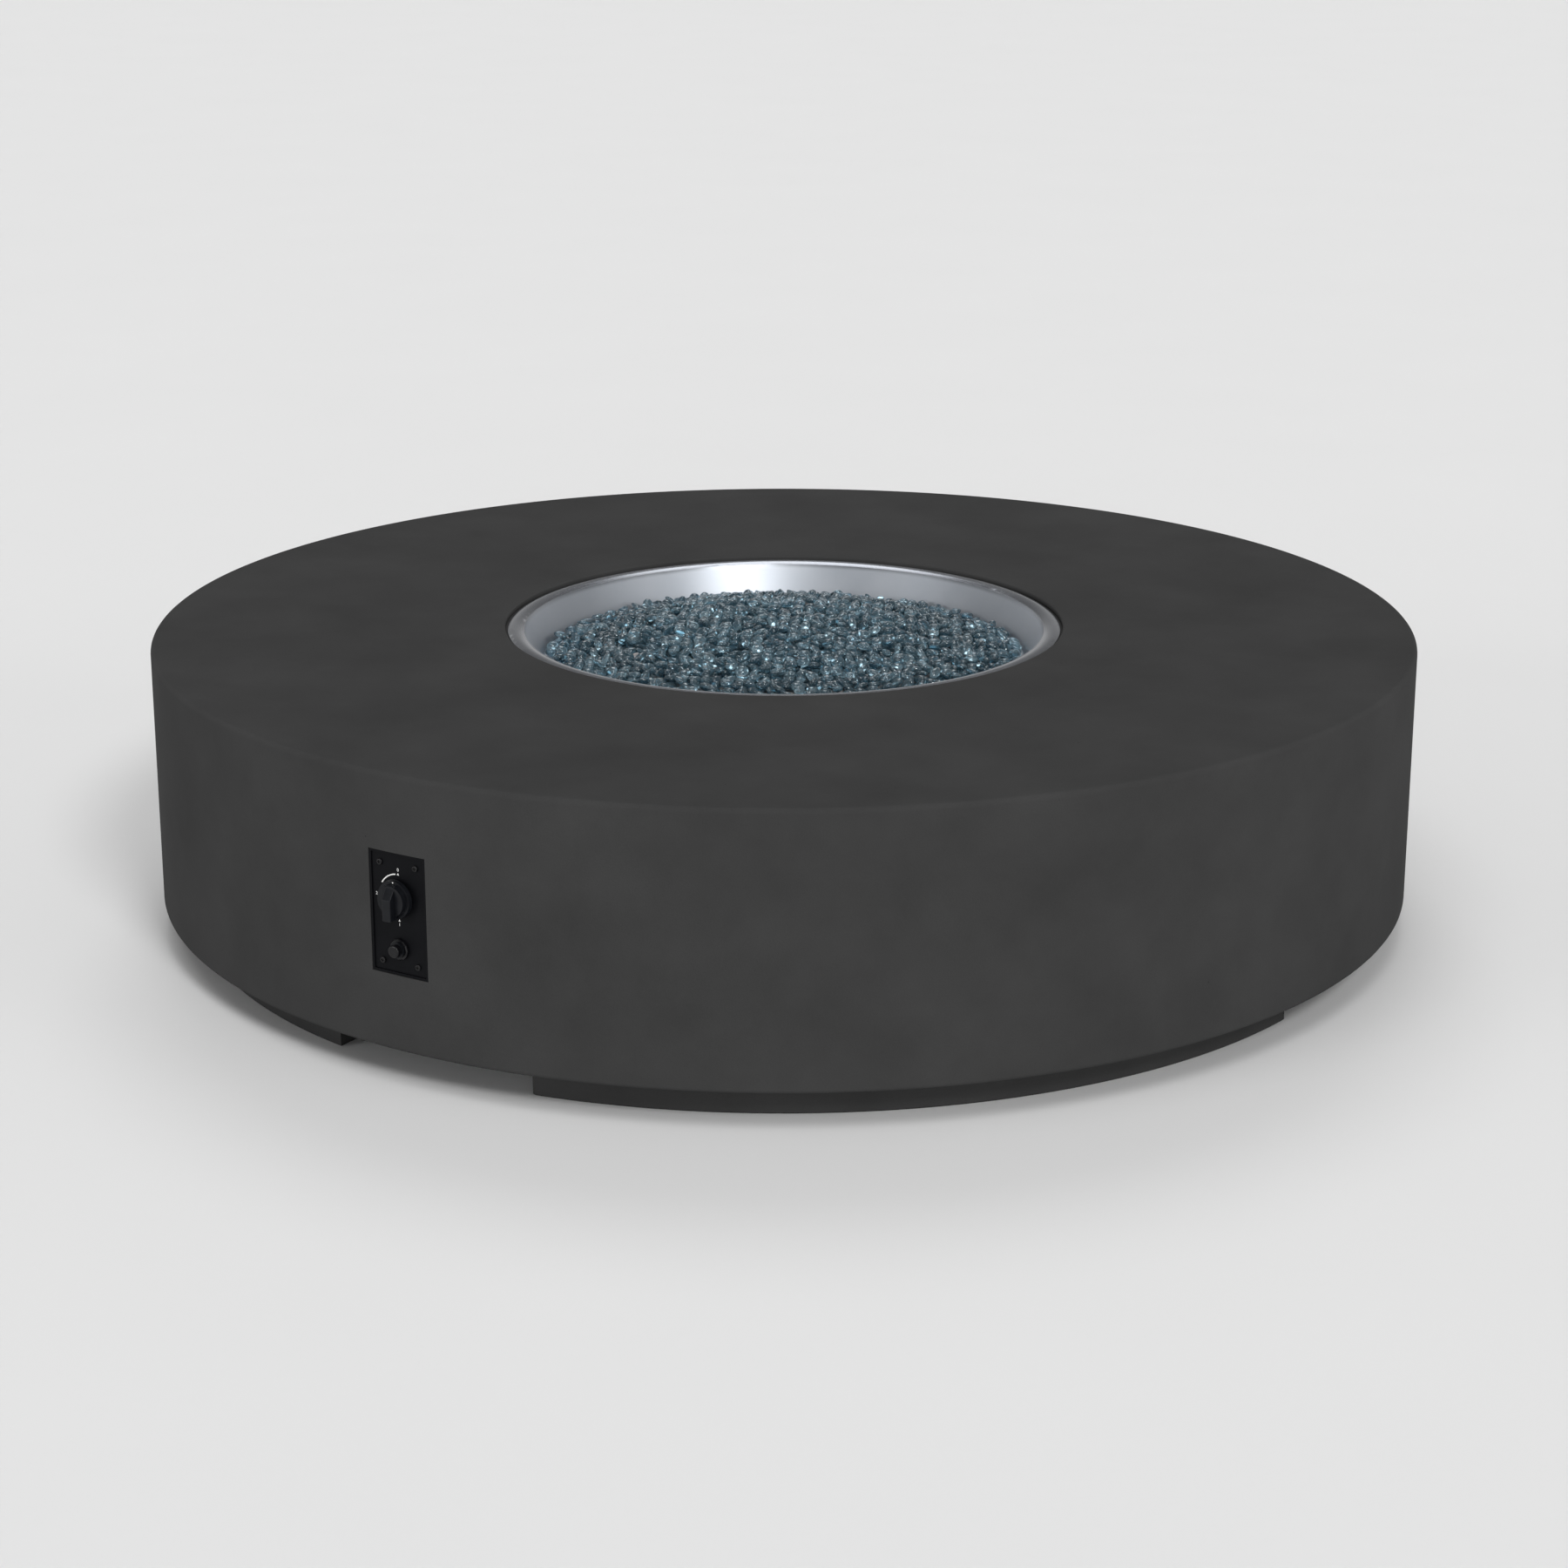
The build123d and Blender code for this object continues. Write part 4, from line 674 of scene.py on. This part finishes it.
# White paint in the pointer recess of the knob's skirt
DOT_RADIUS = 0.86 * MM
DOT_DEPTH = 0.45 * MM
DOT_SUNK = 0.28 * MM
DOT_ROUND = 0.12 * MM
begin()
bpy.ops.mesh.primitive_cylinder_add(
    vertices=24, radius=DOT_RADIUS, depth=DOT_DEPTH, rotation=UPRIGHT,
    location=(0, PANEL_FACE_Y - SKIRT_PROUD + DOT_SUNK, KNOB_Z + POINTER_PLACE)
)
pointer = bpy.context.object
round_off = pointer.modifiers.new("round_off", "BEVEL")
round_off.width = DOT_ROUND
round_off.segments = 2
bpy.ops.object.modifier_apply(modifier="round_off")
bpy.ops.object.shade_smooth_by_angle(angle=math.radians(40))
settle(pointer, "pointer_dot", white_ink, "knob")


# Glass beads: four shapes, drawn out from coarse balls, then heaped in layers under the bed's dome
BEAD_END = 0.2  # a bead's end starts this share of its length from its middle


def shape_bead(name, size, end_width, rise):
    """A tumbled bead: a ball flattened to its size in millimetres, with one end narrower and lifted."""
    begin()
    bpy.ops.mesh.primitive_uv_sphere_add(segments=10, ring_count=6, radius=0.5)
    bead = bpy.context.object
    bpy.ops.object.mode_set(mode="EDIT")
    bpy.ops.mesh.select_all(action="SELECT")
    bpy.ops.transform.resize(value=[side * MM for side in size])
    bpy.ops.object.mode_set(mode="OBJECT")
    for vertex in bead.data.vertices:
        vertex.select = vertex.co.x > BEAD_END * size[0] * MM
    bpy.ops.object.mode_set(mode="EDIT")
    bpy.ops.transform.resize(value=(1, end_width, end_width))
    bpy.ops.transform.translate(value=(0, 0, rise * MM))
    bpy.ops.object.mode_set(mode="OBJECT")
    bead.name = name
    return bead


shapes = [
    shape_bead("bead_round", (16.6, 15.4, 9.8), end_width=0.96, rise=0),
    shape_bead("bead_long", (19.4, 13.6, 9.4), end_width=0.8, rise=0.4),
    shape_bead("bead_drop", (18.6, 14.4, 10.0), end_width=0.62, rise=-0.3),
    shape_bead("bead_flat", (18.0, 15.0, 8.4), end_width=0.9, rise=0.6),
]
bead_points = [np.array([vertex.co for vertex in shape.data.vertices]) for shape in shapes]
bead_faces = [[list(polygon.vertices) for polygon in shape.data.polygons] for shape in shapes]
for shape in shapes:
    bpy.data.objects.remove(shape)

DOME_RADIUS = 949.5 * MM
BED_EDGE = 11 * MM  # depth of the heap at the pan's wall
HALF_BEAD = 4.7 * MM
dice = random.Random(41)


def bed_height(radius):
    """Height of the heap's surface: a dome, then a straight slope down to the pan's wall."""
    if radius < SHOULDER_RADIUS:
        return BED_TOP_Z - DOME_RADIUS + math.sqrt(DOME_RADIUS ** 2 - radius ** 2)
    share = (radius - SHOULDER_RADIUS) / (BED_RADIUS - SHOULDER_RADIUS)
    return SHOULDER_Z + share * (FLOOR_Z + BED_EDGE - SHOULDER_Z)


# Shallow hollows, where the top beads were raked aside: middle, direction and half sizes
HOLLOWS = (
    (Vector((-131, -125)) * MM, Vector((0.84, 0.54)), 30 * MM, 19 * MM),
    (Vector((-163, 3)) * MM, Vector((0.45, -0.89)), 31 * MM, 9 * MM),
)


def in_hollow(place):
    """True over one of the hollows."""
    for middle, direction, half_length, half_width in HOLLOWS:
        step = place.xy - middle
        along = step.dot(direction) / half_length
        aside = (step.x * direction.y - step.y * direction.x) / half_width
        if along ** 2 + aside ** 2 < 1:
            return True
    return False


UNDER_RING = -0.3  # a bead this share of its room below a ring's middle lies under it and is left out
# Room kept free of beads round the hub and the electrode: how far out, and how far up
HUB_ROOM = (HUB_RADIUS + 6 * MM, BURNER_Z + 16 * MM)
ELECTRODE_ROOM = (14 * MM, FLOOR_Z + 26 * MM)
ELECTRODE = ELECTRODE_CIRCLE * Vector((math.cos(ELECTRODE_ANGLE), math.sin(ELECTRODE_ANGLE)))


def push_clear(place):
    """Lifts a bead off the burner's tubes. Gives None where there is no room for it."""
    radius = place.xy.length
    outward = place.xy / max(radius, 1e-6)
    for ring in (INNER_RING, OUTER_RING):
        away = Vector((radius - ring, place.z - BURNER_Z))
        room = TUBE_RADIUS + HALF_BEAD
        if away.length < room:
            if away.y < UNDER_RING * room:
                return None
            away = away.normalized() * room
            flat = outward * (ring + away.x)
            place = Vector((flat.x, flat.y, BURNER_Z + away.y))
    for spoke in SPOKE_ANGLES:
        direction = Vector((math.cos(math.radians(spoke)), math.sin(math.radians(spoke))))
        along = place.xy.dot(direction)
        across = place.x * direction.y - place.y * direction.x
        away = Vector((across, place.z - BURNER_Z))
        room = SPOKE_RADIUS + HALF_BEAD
        if 0 < along < OUTER_RING and away.length < room:
            if away.y < 0:
                return None
            place = Vector((place.x, place.y, BURNER_Z + math.sqrt(room ** 2 - across ** 2)))
    if place.xy.length < HUB_ROOM[0] and place.z < HUB_ROOM[1]:
        return None
    if (place.xy - ELECTRODE).length < ELECTRODE_ROOM[0] and place.z < ELECTRODE_ROOM[1]:
        return None
    return place


# First places: staggered layers that follow the heap's surface downwards, each a jittered grid of triangles.
# Steps and shifts within a layer are shares of its spacing.
LAYERS = 7
LAYER = 10.2 * MM
EDGE_LAYER = 5.6 * MM
SPACING = 16.2 * MM
ROW_STEP = 0.866
LAYER_SHIFT = (0.33, 0.29)
JITTER = 2.2 * MM
RISE_JITTER = 2.4 * MM
TOP_GAPS = 0.14  # share of the top layer left out, so that the heap looks loose
FULL_BAND = 22 * MM  # none is left out this near to the outer ring
DEEPEST = FLOOR_Z + 0.5 * MM  # a place lower than this is left out
ROW_REACH = int(BED_RADIUS / SPACING) + 5
places = []
for level in range(LAYERS):
    for row in range(-ROW_REACH, ROW_REACH + 1):
        for column in range(-ROW_REACH, ROW_REACH + 1):
            across = column + 0.5 * (row % 2) + LAYER_SHIFT[0] * (level % 3)
            x = across * SPACING + dice.uniform(-1, 1) * JITTER
            y = (row * ROW_STEP + LAYER_SHIFT[1] * (level % 3)) * SPACING + dice.uniform(-1, 1) * JITTER
            radius = math.hypot(x, y)
            if radius > BED_RADIUS:
                continue
            layer = LAYER if radius < SHOULDER_RADIUS else EDGE_LAYER
            z = bed_height(radius) - HALF_BEAD - level * layer + dice.uniform(-1, 1) * RISE_JITTER
            if level == 0 and abs(radius - OUTER_RING) > FULL_BAND and dice.random() < TOP_GAPS:
                continue
            if z > DEEPEST:
                places.append(Vector((x, y, z)))

# Neighbours that stand too close push each other apart, with heights stretched to the beads' flatness
FLATNESS = 1.6
TOUCHING = 15.8 * MM
PUSH = 0.4  # share of an overlap that one pass takes away
PASSES = 6
LOWEST = FLOOR_Z + 3.4 * MM
PROUD = 3.5 * MM  # how far a bead may stand out of the heap's surface
for _ in range(PASSES):
    tree_of_beads = kdtree.KDTree(len(places))
    for index, place in enumerate(places):
        tree_of_beads.insert((place.x, place.y, place.z * FLATNESS), index)
    tree_of_beads.balance()
    moved = []
    for index, place in enumerate(places):
        here = Vector((place.x, place.y, place.z * FLATNESS))
        push = Vector((0, 0, 0))
        for there, other, distance in tree_of_beads.find_range(here, TOUCHING):
            if other != index and distance > 0:
                push += (here - there) / distance * (TOUCHING - distance) * PUSH
        step = here + push
        cleared = push_clear(Vector((step.x, step.y, step.z / FLATNESS)))
        if cleared is None:
            continue
        radius = min(cleared.xy.length, BED_RADIUS)
        cleared.xy = cleared.xy.normalized() * radius
        highest = max(bed_height(radius) - HALF_BEAD + PROUD, LOWEST)
        cleared.z = min(max(cleared.z, LOWEST), highest)
        moved.append(cleared)
    places = moved

# One more row lies along the top of the outer ring, which the others slid off
COVER_BEADS = 100
COVER_SPREAD = 3 * MM
COVER_RISE = (-0.5 * MM, 1 * MM)
for step in range(COVER_BEADS):
    angle = 2 * math.pi * step / COVER_BEADS
    radius = OUTER_RING + dice.uniform(-1, 1) * COVER_SPREAD
    height = BURNER_Z + TUBE_RADIUS + HALF_BEAD + dice.uniform(*COVER_RISE)
    places.append(Vector((radius * math.cos(angle), radius * math.sin(angle), height)))

# Each place gets one of the four shapes, turned, tilted and a little larger or smaller, and goes to the
# piece of its quarter of the pan
HOLLOW_DEPTH = 15 * MM
LYING_TILT = math.radians(25)
STEEP_TILT = math.radians(55)
LYING_SHARE = 0.65
BEAD_SCALE = (0.92, 1.1)
FLOOR_ROOM = 0.2 * MM
TOP_ROOM = 0.1 * MM
sectors = [{"points": [], "faces": [], "tints": [], "count": 0} for _ in range(4)]
for place in places:
    depth = bed_height(place.xy.length) - place.z
    if depth < HOLLOW_DEPTH and in_hollow(place):
        continue
    kind = dice.randrange(4)
    tilt = LYING_TILT if dice.random() < LYING_SHARE else STEEP_TILT
    turned = Euler(
        (dice.uniform(-tilt, tilt), dice.uniform(-tilt, tilt), dice.uniform(0, 2 * math.pi))
    ).to_matrix()
    points = bead_points[kind] @ np.array(turned).T * dice.uniform(*BEAD_SCALE) + np.array(place)
    points[:, 2] += max(0, FLOOR_Z + FLOOR_ROOM - points[:, 2].min())
    points[:, 2] -= max(0, points[:, 2].max() - BED_TOP_Z + TOP_ROOM)
    sector = sectors[int((math.atan2(place.y, place.x) + math.pi) / (math.pi / 2)) % 4]
    sector["points"].append(points)
    sector["faces"] += [[corner + sector["count"] for corner in face] for face in bead_faces[kind]]
    sector["tints"] += [dice.random()] * len(points)
    sector["count"] += len(points)

for name, sector in zip(("front_left", "front_right", "rear_right", "rear_left"), sectors):
    mesh = bpy.data.meshes.new("beads_" + name)
    mesh.from_pydata(np.concatenate(sector["points"]), [], sector["faces"])
    mesh.attributes.new("tint", "FLOAT", "POINT").data.foreach_set("value", sector["tints"])
    beads = bpy.data.objects.new("beads_" + name, mesh)
    bpy.context.scene.collection.objects.link(beads)
    settle(beads, "beads_" + name, tinted_glass, "base")
    bpy.ops.object.shade_smooth()
    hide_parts("glass_bed")


# Studio: a wide pale floor, a sky that is pale at the horizon and grey above, and soft far lamps: a key, one
# overhead, three low fills, and one behind
FLOOR_SIZE = 200
SKY_RIM = linear("#e4e4e4")
SKY_ABOVE = (0.27, 0.27, 0.27, 1)  # linear
SKY_CLIMB = (0.1, 0.3)  # sines of the elevations where the rim's tone ends and the upper one begins
begin()
bpy.ops.mesh.primitive_plane_add(size=FLOOR_SIZE)
floor = bpy.context.object
floor.name = "studio_floor"
floor.data.materials.append(studio_floor)

world = bpy.data.worlds.new("studio_sky")
bpy.context.scene.world = world
world.use_nodes = True
sky = world.node_tree
background = sky.nodes["Background"]
direction = add_node(sky, "ShaderNodeTexCoord").outputs["Generated"]
upward = add_node(sky, "ShaderNodeSeparateXYZ", {0: direction})
climb = add_node(
    sky, "ShaderNodeMapRange",
    {"Value": upward.outputs[2], "From Min": SKY_CLIMB[0], "From Max": SKY_CLIMB[1]},
    interpolation_type="SMOOTHSTEP"
)
sky_tone = add_node(
    sky, "ShaderNodeMix",
    {0: climb.outputs[0], 6: SKY_RIM, 7: SKY_ABOVE}, data_type="RGBA"
)
sky.links.new(sky_tone.outputs[2], background.inputs["Color"])


def hang_sun(name, azimuth, elevation, strength, softness):
    """A soft far lamp. Azimuth 0 is in front of the panel and 90 is to its right."""
    lamp = bpy.data.lights.new(name, "SUN")
    lamp.energy = strength
    lamp.angle = math.radians(softness)
    sun = bpy.data.objects.new(name, lamp)
    turn = math.radians(azimuth)
    lift = math.radians(elevation)
    toward = Vector((math.sin(turn) * math.cos(lift), -math.cos(turn) * math.cos(lift), math.sin(lift)))
    sun.rotation_euler = toward.to_track_quat("Z", "Y").to_euler()
    bpy.context.scene.collection.objects.link(sun)


hang_sun("key", azimuth=55.5, elevation=39, strength=1.15, softness=14)
hang_sun("overhead", azimuth=10, elevation=75, strength=0.78, softness=40)
hang_sun("fill_left", azimuth=-30, elevation=8, strength=0.9, softness=30)
hang_sun("fill_right", azimuth=100, elevation=8, strength=0.7, softness=30)
hang_sun("fill_front", azimuth=32, elevation=6, strength=0.5, softness=30)
hang_sun("rear", azimuth=212, elevation=52, strength=0.6, softness=26)

# The camera that was fitted to the photograph, in front of the panel and to its right
LENS = 77.98
SENSOR = 36
CAMERA_PLACE = Vector((2.149, -3.400, 1.384))
CAMERA_AIM = Vector((0, 0, 0.1406))
camera_data = bpy.data.cameras.new("photo_camera")
camera_data.lens = LENS
camera_data.sensor_width = SENSOR
camera_data.clip_end = 500
camera = bpy.data.objects.new("photo_camera", camera_data)
camera.location = CAMERA_PLACE
camera.rotation_euler = (CAMERA_AIM - CAMERA_PLACE).to_track_quat("-Z", "Y").to_euler()
bpy.context.scene.collection.objects.link(camera)
bpy.context.scene.camera = camera
bpy.context.scene.view_settings.view_transform = "Standard"
